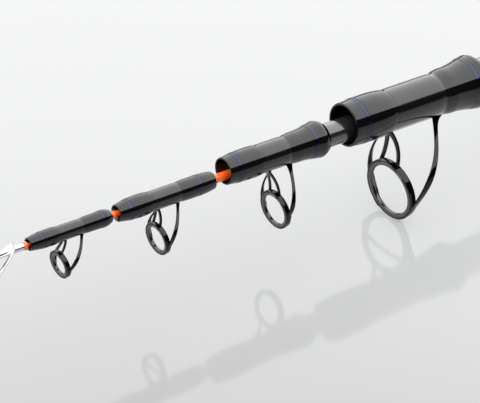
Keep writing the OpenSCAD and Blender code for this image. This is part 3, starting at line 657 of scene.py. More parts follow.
def make_rubber():
    """Moulded rubber: matt, with a soft bloom."""
    made, tree, where = material("Moulded rubber")
    bloom = add(tree, "ShaderNodeTexNoise", Vector=where, Scale=1 / (3.0 * MM), Detail=4.0)
    tint = add(tree, "ShaderNodeMix", {"data_type": "RGBA"}, _0=bloom.outputs["Fac"],
               _6=srgb("#121213"), _7=srgb("#1e1e20"))
    bump = add(tree, "ShaderNodeBump", Height=bloom.outputs["Fac"], Strength=0.08,
               Distance=0.2 * MM)
    return shaded(made, Base_Color=tint.outputs[2], Roughness=0.7, IOR=1.5,
                  Normal=bump.outputs["Normal"])


def make_turned(name, code, roughness, metallic=1.0):
    """Anodised alloy off the lathe: fine turning lines round the axis."""
    made, tree, where = material(name)
    # Tool marks are about 0.1 mm apart; drawn at 0.5 mm so that they show
    marks = add(tree, "ShaderNodeTexWave", {"bands_direction": "X", "wave_profile": "SIN"},
                Vector=where, Scale=wave_scale(0.5), Distortion=0.6, Detail=2.0)
    spread = add(tree, "ShaderNodeMapRange", Value=marks.outputs["Fac"],
                 To_Min=roughness * 0.85, To_Max=roughness * 1.15)
    bump = add(tree, "ShaderNodeBump", Height=marks.outputs["Fac"], Strength=0.04,
               Distance=0.05 * MM)
    return shaded(made, Base_Color=srgb(code), Metallic=metallic,
                  Roughness=spread.outputs["Result"], Normal=bump.outputs["Normal"])


# Each finish has the name of the record's material slot, but for the accent thread
MAKERS = {
    "black_lacquer": make_lacquer,
    "thread_wrap": make_wrap,
    "orange_blank": lambda: make_blank("Orange tinted carbon", rod().colours.orange, "#ec5016",
                                       0.25),
    "grey_blank": lambda: make_blank("Smoke tinted carbon", rod().colours.smoke, "#18191b", 1.0),
    "black_chrome": lambda: make_plated("Black chrome plate", rod().colours.plate, 0.09),
    "bright_chrome": lambda: make_plated("Bright chrome plate", "#d6d8da", 0.07),
    "ring_ceramic": make_ceramic,
    "blue_trim": lambda: make_thread("Trim thread", rod().colours.trim, "#363949"),
    "accent": lambda: make_thread("Accent thread", rod().colours.accent, "#515873"),
    "foam": make_foam,
    "rubber": make_rubber,
    "alloy": lambda: make_turned("Anodised alloy", rod().colours.alloy, 0.3),
    "seat_black": lambda: make_turned("Satin black anodised", "#1a1a1c", 0.38, 0.6),
}
FINISHES = {}


def finish(name):
    """Material by its short name, made once."""
    if name not in FINISHES:
        FINISHES[name] = MAKERS[name]()
    return FINISHES[name]


def carry(node, name):
    """Give a solid that stays in view its finish."""
    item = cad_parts[node]
    if not item.data.materials:
        item.data.materials.append(None)
    for place in item.material_slots:
        place.material = finish(name)


# Geometry Nodes trees

def start_tree(name, **sockets):
    """Empty tree with one output and named inputs, listed by kind, and those inputs."""
    tree = bpy.data.node_groups.new(name, "GeometryNodeTree")
    tree.interface.new_socket("Geometry", in_out="OUTPUT", socket_type="NodeSocketGeometry")
    for kind, names in sockets.items():
        for socket in names:
            tree.interface.new_socket(socket, in_out="INPUT", socket_type="NodeSocket" + kind)
    return tree, add(tree, "NodeGroupInput").outputs


def trim_tree():
    """Two bands of thread turns about the X axis, each with one accent turn in its middle."""
    tree, given = start_tree(
        "Trim whipping",
        Float=("Front place", "Front radius", "Front growth", "Rear place", "Rear radius",
               "Rear growth", "Axis height", "Thread", "Spacing"),
        Int=("Turns",), Material=("Finish", "Accent"))
    thread = add(tree, "GeometryNodeCurvePrimitiveCircle", Radius=given["Thread"], Resolution=8)
    stride = add(tree, "ShaderNodeCombineXYZ", X=given["Spacing"])
    half = add(tree, "ShaderNodeMath", {"operation": "DIVIDE"}, _0=given["Turns"], _1=2.0)
    middle = add(tree, "ShaderNodeMath", {"operation": "FLOOR"}, _0=half.outputs[0])
    number = add(tree, "GeometryNodeInputIndex")
    accent = add(tree, "FunctionNodeCompare", {"data_type": "INT", "operation": "EQUAL"},
                 A=number.outputs[0], B=middle.outputs[0])
    both = add(tree, "GeometryNodeJoinGeometry")
    for band in ("Front", "Rear"):
        start = add(tree, "ShaderNodeCombineXYZ", X=given[band + " place"],
                    Z=given["Axis height"])
        line = add(tree, "GeometryNodeMeshLine", Count=given["Turns"],
                   Start_Location=start.outputs[0], Offset=stride.outputs[0])
        slope = add(tree, "ShaderNodeMath", {"operation": "MULTIPLY_ADD"}, _0=number.outputs[0],
                    _1=given[band + " growth"], _2=1.0)
        size = add(tree, "ShaderNodeCombineXYZ", X=1.0, Y=slope.outputs[0], Z=slope.outputs[0])
        turn = add(tree, "GeometryNodeCurvePrimitiveCircle", Radius=given[band + " radius"],
                   Resolution=96)
        upright = add(tree, "GeometryNodeTransform", Geometry=turn.outputs["Curve"],
                      Rotation=(0, math.pi / 2, 0))
        tube = add(tree, "GeometryNodeCurveToMesh", Curve=upright.outputs["Geometry"],
                   Profile_Curve=thread.outputs["Curve"])
        marks = add(tree, "GeometryNodeStoreNamedAttribute",
                    {"data_type": "BOOLEAN", "domain": "POINT"}, Geometry=line.outputs["Mesh"],
                    Name="accent", Value=accent.outputs[0])
        wound = add(tree, "GeometryNodeInstanceOnPoints", Points=marks.outputs[0],
                    Instance=tube.outputs["Mesh"], Scale=size.outputs[0])
        tree.links.new(wound.outputs["Instances"], both.inputs[0])
    real = add(tree, "GeometryNodeRealizeInstances", Geometry=both.outputs[0])
    smooth = add(tree, "GeometryNodeSetShadeSmooth", Geometry=real.outputs[0])
    plain = add(tree, "GeometryNodeSetMaterial", Geometry=smooth.outputs[0],
                Material=given["Finish"])
    marked = add(tree, "GeometryNodeInputNamedAttribute", {"data_type": "BOOLEAN"}, Name="accent")
    lined = add(tree, "GeometryNodeSetMaterial", Geometry=plain.outputs[0],
                Selection=marked.outputs[0], Material=given["Accent"])
    add(tree, "NodeGroupOutput", Geometry=lined.outputs[0])
    return tree


def rib_tree():
    """Round bars along X, spaced evenly about the axis."""
    tree, given = start_tree(
        "Grip ribs", Float=("Place", "Radius", "Rib radius", "Rib length"), Int=("Ribs",),
        Material=("Finish",))
    circle = add(tree, "GeometryNodeMeshCircle", Vertices=given["Ribs"], Radius=given["Radius"])
    place = add(tree, "ShaderNodeCombineXYZ", X=given["Place"])
    upright = add(tree, "GeometryNodeTransform", Geometry=circle.outputs["Mesh"],
                  Rotation=(0, math.pi / 2, 0), Translation=place.outputs[0])
    bar = add(tree, "GeometryNodeMeshCylinder", Vertices=12, Radius=given["Rib radius"],
              Depth=given["Rib length"])
    lying = add(tree, "GeometryNodeTransform", Geometry=bar.outputs["Mesh"],
                Rotation=(0, math.pi / 2, 0))
    ribs = add(tree, "GeometryNodeInstanceOnPoints", Points=upright.outputs["Geometry"],
               Instance=lying.outputs["Geometry"])
    real = add(tree, "GeometryNodeRealizeInstances", Geometry=ribs.outputs["Instances"])
    dressed = add(tree, "GeometryNodeSetMaterial", Geometry=real.outputs[0],
                  Material=given["Finish"])
    add(tree, "NodeGroupOutput", Geometry=dressed.outputs[0])
    return tree


def grown(name, tree, values, body, node=None):
    """Plain mesh piece from a Geometry Nodes tree and its named inputs."""
    seed = bpy.data.objects.new(name + "_seed", bpy.data.meshes.new(name + "_seed"))
    bpy.context.scene.collection.objects.link(seed)
    modifier = seed.modifiers.new("grow", "NODES")
    modifier.node_group = tree
    for item in tree.interface.items_tree:
        if item.item_type == "SOCKET" and item.in_out == "INPUT" and item.name in values:
            modifier[item.identifier] = values[item.name]
    graph = bpy.context.evaluated_depsgraph_get()
    mesh = bpy.data.meshes.new_from_object(seed.evaluated_get(graph), depsgraph=graph)
    bpy.data.objects.remove(seed)
    if not mesh.polygons:
        raise RuntimeError(name + " has no faces")
    mesh.name = name
    face_out(mesh)
    settle(name, mesh, body, node)


# Operators, one for each group of pieces

class ROD_OT_blanks(Operator):
    """Make the tapered blanks of the tip, the collared sections and the handle"""
    bl_idname = "rod.blanks"
    bl_label = "Blanks"

    def execute(self, context):
        blanks = rod().blanks
        end, end_r = -blanks.tip_l, blanks.skin_r[0] + blanks.slope[0] * blanks.tip_l
        profile = [(0, 0), (0, blanks.skin_r[0]), (end, end_r), (end, 0)]
        dress("tip_blank", lathe(profile, placed(*front_of("tip_blank")), closed=False),
              "orange_blank", "tip")
        for k, name in enumerate(SECTIONS):
            sec = Section(k)
            sink, end = rod().collars.sink_l[k], sec.length
            profile = [(-sink, sec.bore(sink)), (-sink, sec.skin(sink)), (-end, sec.skin(end)),
                       (-end, sec.bore(end))]
            dress(name + "_blank", lathe(profile, sec.place),
                  "orange_blank" if name in ORANGE else "grey_blank", name)
        sec, sleeve_edge = Section(0), 0.35
        x0, x1, r = span("second_sleeve")
        profile = rounded_bar(x0, x1, sec.skin(sec.end), r, sleeve_edge)
        dress("second_sleeve", lathe(profile, placed(z=sec.z)), "orange_blank", "second")
        x0, x1, _ = span("butt_blank")
        bore = blanks.skin_r[BUTT] - blanks.wall[BUTT]
        profile = [(x0, bore + blanks.slope[BUTT - 1] * (x1 - x0)), (x0, butt_skin(x0)),
                   (x1, butt_skin(x1)), (x1, bore)]
        dress("butt_blank", lathe(profile, placed()), "black_lacquer", "butt")
        return {"FINISHED"}


class ROD_OT_collars(Operator):
    """Make the lacquered ferrules, guide wraps and stop collars"""
    bl_idname = "rod.collars"
    bl_label = "Collars"

    def execute(self, context):
        for k, name in enumerate(SECTIONS):
            sec = Section(k)
            for node, look, slot, outline in (
                    ("_ferrule", "_ferrule_look", "black_lacquer", self.ferrule(sec)),
                    ("_guide_wrap", "_wrap_look", "thread_wrap", self.wrap(sec)),
                    ("_stop_collar", "_stop_look", "black_lacquer", self.stop(sec))):
                profile = [(-s, r) for s, r in outline]
                dress(name + node, lathe(profile, sec.place), slot, name, look=name + look)
        return {"FINISHED"}

    @staticmethod
    def edge(sec):
        """Round of a collar's edge, a share of the rim."""
        return rod().collars.rim_t[sec.k] * 0.45

    @staticmethod
    def dip(sec):
        """Depth of the seam between the wrap and the stop collar, a share of the step."""
        return rod().collars.step_h[sec.k] * 0.6

    @staticmethod
    def fall(sec, s, a, b):
        """Soft step of the varnish from one height over the collar's outline to another."""
        ends = [(s + rod().collars.step_w[sec.k] * u, u) for u in shares(steps=10)[1:]]
        return [(end, sec.collar(end) + ease(a, b, u)) for end, u in ends]

    def ferrule(self, sec):
        """Rim with both its edges eased, the swell with its step, and the countersink."""
        c, k = rod().collars, sec.k
        edge, sink = self.edge(sec), c.sink_l[k]
        lip = [(edge * (1 - math.cos(a)), sec.collar(edge) - edge * (1 - math.sin(a)))
               for a in quarter()]
        step_s = sec.neck - c.step_w[k]
        outer = []
        for s, r in sec.along(edge, step_s, steps=80):
            rise = max(0.0, (s - c.swell_s[k]) / (step_s - c.swell_s[k]))
            outer.append((s, r + ease(0, c.step_h[k], rise)))
        outer += self.fall(sec, step_s, c.step_h[k], 0.0)
        rim_r, bore = sec.collar(0) - c.rim_t[k], sec.bore(sink)
        inner = [(0.0, rim_r), (sink / 2, (rim_r + bore) / 2), (sink, bore),
                 (sink, sec.skin(sink)), (sec.neck, sec.skin(sec.neck))]
        return lip[:-1] + outer + inner[::-1]

    def wrap(self, sec):
        """Wrap that dips to the stop collar's seam."""
        step_s = sec.seam - rod().collars.step_w[sec.k]
        return ([(sec.neck, sec.skin(sec.neck))] + sec.along(sec.neck, step_s, steps=12)
                + self.fall(sec, step_s, 0.0, -self.dip(sec))
                + [(sec.seam, sec.skin(sec.seam))])

    def stop(self, sec):
        """Stop collar from its seam to its end face with an eased edge."""
        edge, dip = self.edge(sec), self.dip(sec)
        start = [(sec.seam, sec.skin(sec.seam)), (sec.seam, sec.collar(sec.seam) - dip)]
        start += self.fall(sec, sec.seam, -dip, 0.0)
        step_s = sec.seam + rod().collars.step_w[sec.k]
        tail = sec.along(step_s, sec.end - edge, steps=70)[1:]
        last_r = sec.collar(sec.end)
        end = [(sec.end - edge * (1 - math.sin(a)), last_r - edge * (1 - math.cos(a)))
               for a in quarter()[1:]]
        return start + tail + end + [(sec.end, sec.skin(sec.end))]


class ROD_OT_trims(Operator):
    """Wind the trim thread on each collar and on the handle's ferrule"""
    bl_idname = "rod.trims"
    bl_label = "Trims"

    def execute(self, context):
        c = rod().collars
        tree = trim_tree()
        # The turns lie partly in the varnish
        sunk = c.thread_d * 0.36
        for k, name in enumerate(SECTIONS):
            sec = Section(k)
            gap, values = self.winding(c.band_w[k])
            values["Axis height"] = sec.z * MM
            rear_s = sec.flare - c.band_back[k] - c.band_w[k]
            for band, start in (("Front", c.band_s[k]), ("Rear", rear_s)):
                first = start + gap / 2
                r0, r1 = sec.collar(first) - sunk, sec.collar(first + gap) - sunk
                values.update({band + " place": (sec.mouth - first) * MM,
                               band + " radius": r0 * MM, band + " growth": (r1 - r0) / r0})
            grown(name + "_trim_look", tree, values, name, name + "_trim")
        low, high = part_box("butt_trim")
        radius = high[2] - sunk * MM
        gap, values = self.winding(c.butt_band_w)
        values.update({"Front place": high[0] - gap / 2 * MM, "Front radius": radius,
                       "Rear place": low[0] + (c.butt_band_w - gap / 2) * MM,
                       "Rear radius": radius, "Axis height": 0.0})
        grown("butt_trim_look", tree, values, "butt", "butt_trim")
        return {"FINISHED"}

    @staticmethod
    def winding(width):
        """Spacing of the turns that fill a band, and the tree's values for them."""
        c, fewest = rod().collars, 3
        turns = max(fewest, round(width / c.thread_d))
        gap = width / turns
        return gap, {"Thread": c.thread_d / 2 * MM, "Spacing": -gap * MM, "Turns": turns,
                     "Finish": finish("blue_trim"), "Accent": finish("accent"),
                     "Front growth": 0.0, "Rear growth": 0.0}


def rolled_band(r, half_w, wall):
    """Profile of a pressed hoop whose rims are eased."""
    bead = wall * 0.3
    side, low, high = half_w - bead, r - wall + bead, r - bead
    corners = ((side, low, -math.pi / 2), (side, high, 0.0), (-side, high, math.pi / 2),
               (-side, low, math.pi))
    return [(x + bead * math.cos(start + a), y + bead * math.sin(start + a))
            for x, y, start in corners for a in quarter(steps=5)]


def round_ring(seat_r, wall, w, ahead=0.0):
    """Profile of a hard ring: flat in its hoop and on its faces, round where the line runs."""
    bead = min(w, wall) / 2
    edge = 0.12
    front, back = ahead + w / 2, ahead - w / 2
    middle = seat_r - wall + bead
    turn = quarter(steps=10)
    profile = [(front - edge, seat_r), (front, seat_r - edge)]
    profile += [(front - bead + bead * math.cos(a), middle - bead * math.sin(a)) for a in turn]
    profile += [(back + bead - bead * math.cos(a), middle - bead * math.sin(a))
                for a in reversed(turn)]
    return profile + [(back, seat_r - edge), (back + edge, seat_r)]


class ROD_OT_guides(Operator):
    """Make the pressed guide frames and their hard rings"""
    bl_idname = "rod.guides"
    bl_label = "Guides"

    def execute(self, context):
        for k, name in enumerate(SECTIONS):
            sec = Section(k)
            pressed = joined(self.hoop(sec), self.foot(sec), *self.arch(sec),
                             *self.rear_legs(sec))
            dress(name + "_guide_frame", pressed, "black_chrome", name,
                  look=name + "_guide_look", crease=STRIP_CREASE)
            dress(name + "_guide_ring", self.ring(sec), "ring_ceramic", name,
                  look=name + "_ring_look")
        return {"FINISHED"}

    @staticmethod
    def from_ring(sec, p):
        """Point of the section's frame from one of the leaning ring's."""
        g, k = rod().guides, sec.k
        middle = Vector((-g.ring_s[k], 0, -g.ring_drop[k]))
        return Matrix.Rotation(g.lean, 3, "Y") @ Vector(p) + middle

    def turned(self, sec, profile):
        """Shape turned about the ring's axis."""
        return lathe(profile, lambda p: sec.place(self.from_ring(sec, p)))

    def hoop(self, sec):
        g, k = rod().guides, sec.k
        return self.turned(sec, rolled_band(g.hoop_d[k] / 2, g.hoop_w[k] / 2, g.hoop_t))

    def ring(self, sec):
        g, k = rod().guides, sec.k
        ahead = (g.hoop_w[k] - g.ring_w[k]) / 2
        seat_r = g.hoop_d[k] / 2 - g.hoop_t
        return self.turned(sec, round_ring(seat_r, g.ring_wall[k], g.ring_w[k], ahead))

    @staticmethod
    def foot(sec):
        """Ground foot strip under the collar, thin and narrow at its toe and heel."""
        g, k = rod().guides, sec.k
        toe, heel = sec.neck - g.toe_l[k], sec.seam + g.heel_l[k]
        toe_share = 0.6
        path, widths, thick = [], [], []
        for u in shares(steps=30):
            s = toe + (heel - toe) * u
            grow = min(1.0, (s - toe) / g.toe_l[k], (heel - s) / g.heel_l[k])
            full = ease(0, 1, max(0.0, grow))
            t = g.toe_t + (g.foot_t[k] - g.toe_t) * full
            path.append(sec.place((-s, 0, -sec.skin(s) - t / 2)))
            widths.append(g.foot_w[k] * (toe_share + (1 - toe_share) * full))
            thick.append(t)
        return sweep(path, widths, thick, [Vector((0, 1, 0))] * len(path))

    def arch(self, sec):
        """Front leg: a stem that parts in two sides, which spread to the hoop's back edge."""
        g, k = rod().guides, sec.k
        t, s = g.leg_t[k], g.front_s[k]
        r = g.hoop_d[k] / 2 - g.hoop_t / 2
        top = -sec.skin(s) - g.foot_t[k] / 2
        back = (t - g.hoop_w[k]) / 2
        low = self.from_ring(sec, (back, 0, r * math.cos(g.arch_angle))).z
        crown = self.from_ring(sec, (back, 0, r))
        reach = r * math.sin(g.arch_angle)
        # The sides have most of their spread at the bend
        knee = reach * 0.8
        parting = top + g.part_share * (low - top)
        bend = low + g.spread_share * (top - low)

        def edge(start, inset):
            """Edge of a side, seen from the front."""
            a, b, c = Vector(start), Vector((knee - inset, bend)), Vector((reach - inset, low))
            return [bezier(a, b, c, u) for u in shares(steps=200)]

        def across(points, height):
            return min(points, key=lambda p: abs(p.y - height)).x

        outer = edge((g.foot_w[k] / 2, top), 0.0)
        inner = edge((0, parting), g.arch_w[k])
        # The two sides lap a little where they are one stem
        lap = 0.15
        sway = 4 * g.front_bow * g.hoop_d[k]
        sides = []
        for side in (1, -1):
            path, widths = [], []
            for u in shares(steps=32):
                height = top + (low - top) * u
                far = across(outer, height)
                near = across(inner, height) if height < parting else 0.0
                near = max(near - lap, -lap)
                fall = (height - top) / (crown.z - top)
                x = -s + (crown.x + s) * fall - sway * u * (1 - u)
                path.append(sec.place((x, side * (far + near) / 2, height)))
                widths.append(far - near)
            lean = directions(path)
            widths = [w * math.hypot(d.x, d.z) for w, d in zip(widths, lean)]
            sides.append(sweep(path, widths, [t] * len(path),
                               [Vector((1, 0, 0)).cross(d) for d in lean]))
        return sides

    def rear_legs(self, sec):
        """Two bowed strips that peel off the hoop's sides and run back to the heel."""
        g, k = rod().guides, sec.k
        t, r, s = g.leg_t[k], g.hoop_d[k] / 2, g.rear_s[k]
        low = r - g.hoop_t / 2
        middle = self.from_ring(sec, (0, 0, 0))
        heel = Vector((-s, t / 2, -sec.skin(s) - g.foot_t[k] / 2))
        rise = heel - middle
        knee = middle + r * Vector((-g.knee_back[k], g.knee_out[k], g.knee_up[k]))
        bend = middle + Vector((g.heel_back[k] * rise.x, g.heel_out[k] * r, g.heel_up[k] * rise.z))
        inside = (g.rear_root_w[k] - g.hoop_w[k]) / 2
        outside = (g.rear_w[k] - g.hoop_w[k]) / 2
        axis = Matrix.Rotation(g.lean, 3, "Y") @ Vector((1, 0, 0))
        spring = math.radians(g.rear_angle[k])

        def on_hoop(angle, x):
            return self.from_ring(sec, (x, low * math.sin(angle), low * math.cos(angle)))

        root = on_hoop(spring, outside)
        root_t = g.hoop_t * 0.8
        # How soon a leg gets slim and turns its face, and how its end spreads into the heel
        slim, turning, heel_power, heel_w, heel_t = 1.3, 2.5, 9, 1.9, 0.5
        legs = []
        for side in (1, -1):
            mirror = Vector((1, side, 1))
            turned = Vector((math.cos(g.rear_turn), -side * math.sin(g.rear_turn), 0))
            path, widths, thick, wides = [], [], [], []
            for u in shares(steps=12)[:-1]:
                p = on_hoop(spring + g.root_lap * (1 - u), inside + (outside - inside) * u * u)
                path.append(sec.place(p * mirror))
                widths.append(g.rear_root_w[k])
                thick.append(root_t + (t - root_t) * u)
                wides.append(axis)
            for u in shares(steps=48):
                spread = u ** heel_power
                path.append(sec.place(cubic(root, knee, bend, heel, u) * mirror))
                widths.append(level_off(g.rear_root_w[k], g.rear_w[k], min(1.0, u * slim))
                              + g.rear_w[k] * heel_w * spread)
                thick.append(t * (1 + heel_t * spread))
                wides.append(axis.lerp(turned, ease(0, 1, min(1.0, u * turning))))
            legs.append(sweep(path, widths, thick, wides))
        return legs


class ROD_OT_tip_top(Operator):
    """Make the tip top: its tube, hoop, braces, hard ring and the orange sleeve"""
    bl_idname = "rod.tip_top"
    bl_label = "Tip top"

    def execute(self, context):
        t, wall = rod().tip_top, rod().guides.hoop_t
        place = placed(*front_of("tip_blank"))
        blank_r = rod().blanks.skin_r[0]
        r, back = t.tube_d / 2, -t.tube_l
        nose_r, tube_edge, sleeve_edge = 0.4, 0.15, 0.4
        tube = [(0, 0), (0, blank_r), (back, blank_r), (back, r - tube_edge),
                (back + tube_edge, r)]
        # A shallow groove near the tube's rear
        tube += [(back + x, r - cut) for x, cut in ((0.6, 0.0), (0.8, 0.12), (1.0, 0.0))]
        tube += [(wall * math.sin(a), r - nose_r + nose_r * math.cos(a)) for a in quarter()]
        dress("tip_top_tube", lathe(tube + [(wall, 0)], place, closed=False), "bright_chrome",
              "tip")
        sleeve = rounded_bar(back - t.sleeve_l, back, blank_r, t.sleeve_d / 2, sleeve_edge)
        dress("tip_sleeve", lathe(sleeve, place), "orange_blank", "tip")

        hoop_r = t.hoop_d / 2
        drop = r + hoop_r * math.cos(t.lean) - wall / 2
        ahead = hoop_r * math.sin(t.lean)
        turn = Matrix.Rotation(-t.lean, 3, "Y")

        def in_ring(p):
            return place(turn @ Vector(p) + Vector((ahead, 0, -drop)))

        shapes = [lathe(rolled_band(hoop_r, t.hoop_w / 2, wall), in_ring)]
        seat = back + t.brace_s
        strip_w, strip_h, flare, flare_power = 0.55, 1.8, 0.3, 8
        for side in (1, -1):
            # Each brace lies over the tube's shoulder, is soldered down its side and bows out
            start = Vector((seat - t.brace_d, side * r * 0.3, r))
            shoulder = Vector((seat, side * r * 1.3, r * 0.7))
            bow = Vector((seat + t.brace_d * 3.5, side * (r + hoop_r) * 0.5, -drop * 0.42))
            end = Vector((ahead - t.brace_d / 2, side * (hoop_r - wall / 2), -drop))
            along = shares(steps=32)
            path = [place(cubic(start, shoulder, bow, end, u)) for u in along]
            heights = [t.brace_d * (strip_h + flare * abs(2 * u - 1) ** flare_power)
                       for u in along]
            shapes.append(sweep(path, [t.brace_d * strip_w] * len(path), heights,
                                [Vector((1, 0, 0.4))] * len(path)))
        dress("tip_top_frame", joined(*shapes), "bright_chrome", "tip", crease=STRIP_CREASE)
        dress("tip_top_ring", lathe(round_ring(hoop_r - wall, t.ring_wall, t.ring_w), in_ring),
              "ring_ceramic", "tip")
        return {"FINISHED"}


class ROD_OT_handle(Operator):
    """Make the handle's ferrule, check rings and foam grips"""
    bl_idname = "rod.handle"
    bl_label = "Handle"

    def execute(self, context):
        x0, x1, r = span("butt_ferrule")
        ferrule_edge = 0.7
        profile = rounded_bar(x0, x1, butt_skin(x0), r, ferrule_edge)
        profile[-1] = (x1, butt_skin(x1))
        dress("butt_ferrule", lathe(profile, placed()), "black_lacquer", "butt")
        # The front check falls to half its height at its front, the rear one stays level
        for name, front_share in (("front_check", 0.5), ("rear_check", 1.0)):
            self.turn(name, self.check_ring(*span(name), front_share), "alloy")
        for name in ("fore_grip", "rear_grip"):
            self.turn(name, self.grip(*span(name)), "foam")
        return {"FINISHED"}

    @staticmethod
    def turn(name, outer, slot):
        """Turned piece on the handle's blank, from its outer outline."""
        x0, x1, _ = span(name)
        profile = [(x0, butt_skin(x0))] + outer + [(x1, butt_skin(x1))]
        dress(name, lathe(profile, placed()), slot, "butt")

    @staticmethod
    def check_ring(x0, x1, r, front_share):
        """Ring with broken edges and two turned grooves."""
        inner = butt_skin(x1)
        end_r = inner + (r - inner) * front_share
        edge, eased = 0.5, 0.5 * 0.3
        groove = ((-0.35, 0.0), (-0.2, 0.25), (0.2, 0.25), (0.35, 0.0))
        outer = [(x0, r - edge), (x0 + eased, r - eased), (x0 + edge, r)]
        for u in (0.3, 0.6):
            top = ease(r, end_r, u)
            outer += [(x0 + (x1 - x0) * u + x, top - cut) for x, cut in groove]
        return outer + [(x1 - edge, end_r), (x1 - eased, end_r - eased), (x1, end_r - edge)]

    @staticmethod
    def grip(x0, x1, r):
        """Foam grip with a round shoulder and an eased edge at each end."""
        h = rod().handle
        edge, low_r = 0.8, r - h.shoulder_h
        shoulder = [(0.0, low_r - edge), (edge * 0.3, low_r - edge * 0.35)]
        for u in shares(steps=24):
            x = edge + (h.shoulder_l - edge) * u
            shoulder.append((x, level_off(low_r, r, x / h.shoulder_l)))
        return [(x0 + x, y) for x, y in shoulder] + [(x1 - x, y) for x, y in reversed(shoulder)]


class ROD_OT_reel_seat(Operator):
    """Make the threaded seat, its two hoods and the lock nut"""
    bl_idname = "rod.reel_seat"
    bl_label = "Reel seat"

    def execute(self, context):
        self.body()
        self.hoods()
        self.nut()
        carry("seat_arbors", "alloy")
        return {"FINISHED"}

    @staticmethod
    def body():
        """Threaded tube with a keyway along its top."""
        h = rod().handle
        x0, x1, r = span("seat_body")
        inner = even(r - h.seat_wall)
        slot_x0, slot_x1 = span("fixed_hood")[1], x1 - h.pocket_end
        half_key = math.asin(h.key_w / 2 / r)
        # The thread starts a little ahead of the fixed hood and fades at both ends
        lead, fade_l, roundness, per_turn = 2, 1.5, 0.7, 10
        # Points close beside the keyway's edges keep its walls steep
        wall_angle, wall_x = 0.002, 0.02
        walls = [middle + off for middle in (half_key, 2 * math.pi - half_key)
                 for off in (-wall_angle, wall_angle)]
        angles = sorted(even_angles(count=116) + walls)

        def outer(x):
            fade = max(0.0, min(1.0, (x - slot_x0 - lead) / fade_l, (slot_x1 - x) / fade_l))

            def radius(a):
                wave = 0.5 - 0.5 * math.cos(2 * math.pi * x / h.seat_pitch - a)
                out = r - h.seat_thread * fade * wave ** roundness
                near = min(a, 2 * math.pi - a)
                if slot_x0 <= x <= slot_x1 and near < half_key:
                    return min(out, (r - h.key_h) / math.cos(near))
                return out
            return radius

        steps = int((slot_x1 - slot_x0) / h.seat_pitch * per_turn)
        places = [x0, slot_x0 - wall_x]
        places += [slot_x0 + (slot_x1 - slot_x0) * j / steps for j in range(steps + 1)]
        places += [slot_x1 + wall_x, x1]
        stations = [(x0, inner)] + [(x, outer(x)) for x in places] + [(x1, inner)]
        dress("seat_body", about_axis(stations, angles), "seat_black", "butt")

    @staticmethod
    def hoods():
        """Fixed and sliding hood: a ring with a pocket below for the reel's foot."""
        h = rod().handle
        seat_r = span("seat_body")[2]
        drop = seat_r + h.pocket_h - h.pocket_w / 2

        def lobe(base, reach):
            def radius(a):
                room = reach * reach - (drop * math.sin(a)) ** 2
                return base if room <= 0 else max(base, -drop * math.cos(a) + math.sqrt(room))
            return radius

        groove_s, groove = 4, ((-0.6, 0.0), (-0.4, 0.3), (0.4, 0.3), (0.6, 0.0))
        for name, body, bore, open_front in (
                ("fixed_hood", "butt", seat_r, True),
                ("sliding_hood", "hood", seat_r + h.hood_gap, False)):
            x0, x1, _ = span(name)
            hole, pocket = even(bore), lobe(bore, h.pocket_w / 2)
            first, last = (hole, pocket) if open_front else (pocket, hole)
            step = x0 + h.pocket_end if open_front else x1 - h.pocket_end
            groove_x = x1 - groove_s if open_front else x0 + groove_s
            between = [(groove_x + x, cut) for x, cut in groove]
            stations = [(x0, first)]
            for x, cut in broken_edges(x0, x1, BROKEN_EDGE, between):
                wall = h.hood_wall - cut
                stations.append((x, lobe(seat_r + wall, h.pocket_w / 2 + wall)))
            stations += [(x1, last), (step, last), (step, first)]
            shape = about_axis(stations, even_angles(count=240))
            if name == "sliding_hood":
                shape = joined(shape, ROD_OT_reel_seat.key(x0, x1, seat_r))
            dress(name, shape, "alloy", body, crease=HOOD_CREASE)

    @staticmethod
    def key(x0, x1, seat_r):
        """Bar under the sliding hood that runs in the seat's keyway."""
        h = rod().handle
        play, short = 2 * h.hood_gap, 0.3
        side = h.key_w / 2 - play
        low, high = seat_r - h.key_h + play, seat_r + h.hood_wall / 2
        corners = ((-side, low), (side, low), (side, high), (-side, high))
        return loft([[Vector((x, y, z)) for y, z in corners] for x in (x0 + short, x1 - short)])

    @staticmethod
    def nut():
        """Lock nut with finger flutes."""
        h = rod().handle
        x0, x1, r = span("lock_nut")
        bore = even(span("seat_body")[2] + h.hood_gap)
        away, reach = r + h.flute_d / 4, h.flute_d / 2
        share = 2 * math.pi / h.flutes
        nut_edge, flute_cut = ((0.0, 1.0), (0.3, 0.4), (1.0, 0.0)), 0.3

        def outer(cut):
            def radius(a):
                off = (a + share / 2) % share - share / 2
                room = reach * reach - (away * math.sin(off)) ** 2
                if room <= 0:
                    return r - cut
                return min(r - cut, away * math.cos(off) - math.sqrt(room) - cut * flute_cut)
            return radius

        stations = [(x, outer(cut)) for x, cut in broken_edges(x0, x1, nut_edge)]
        stations = [(x0, bore)] + stations + [(x1, bore)]
        dress("lock_nut", about_axis(stations, even_angles(count=432)), "seat_black", "nut")


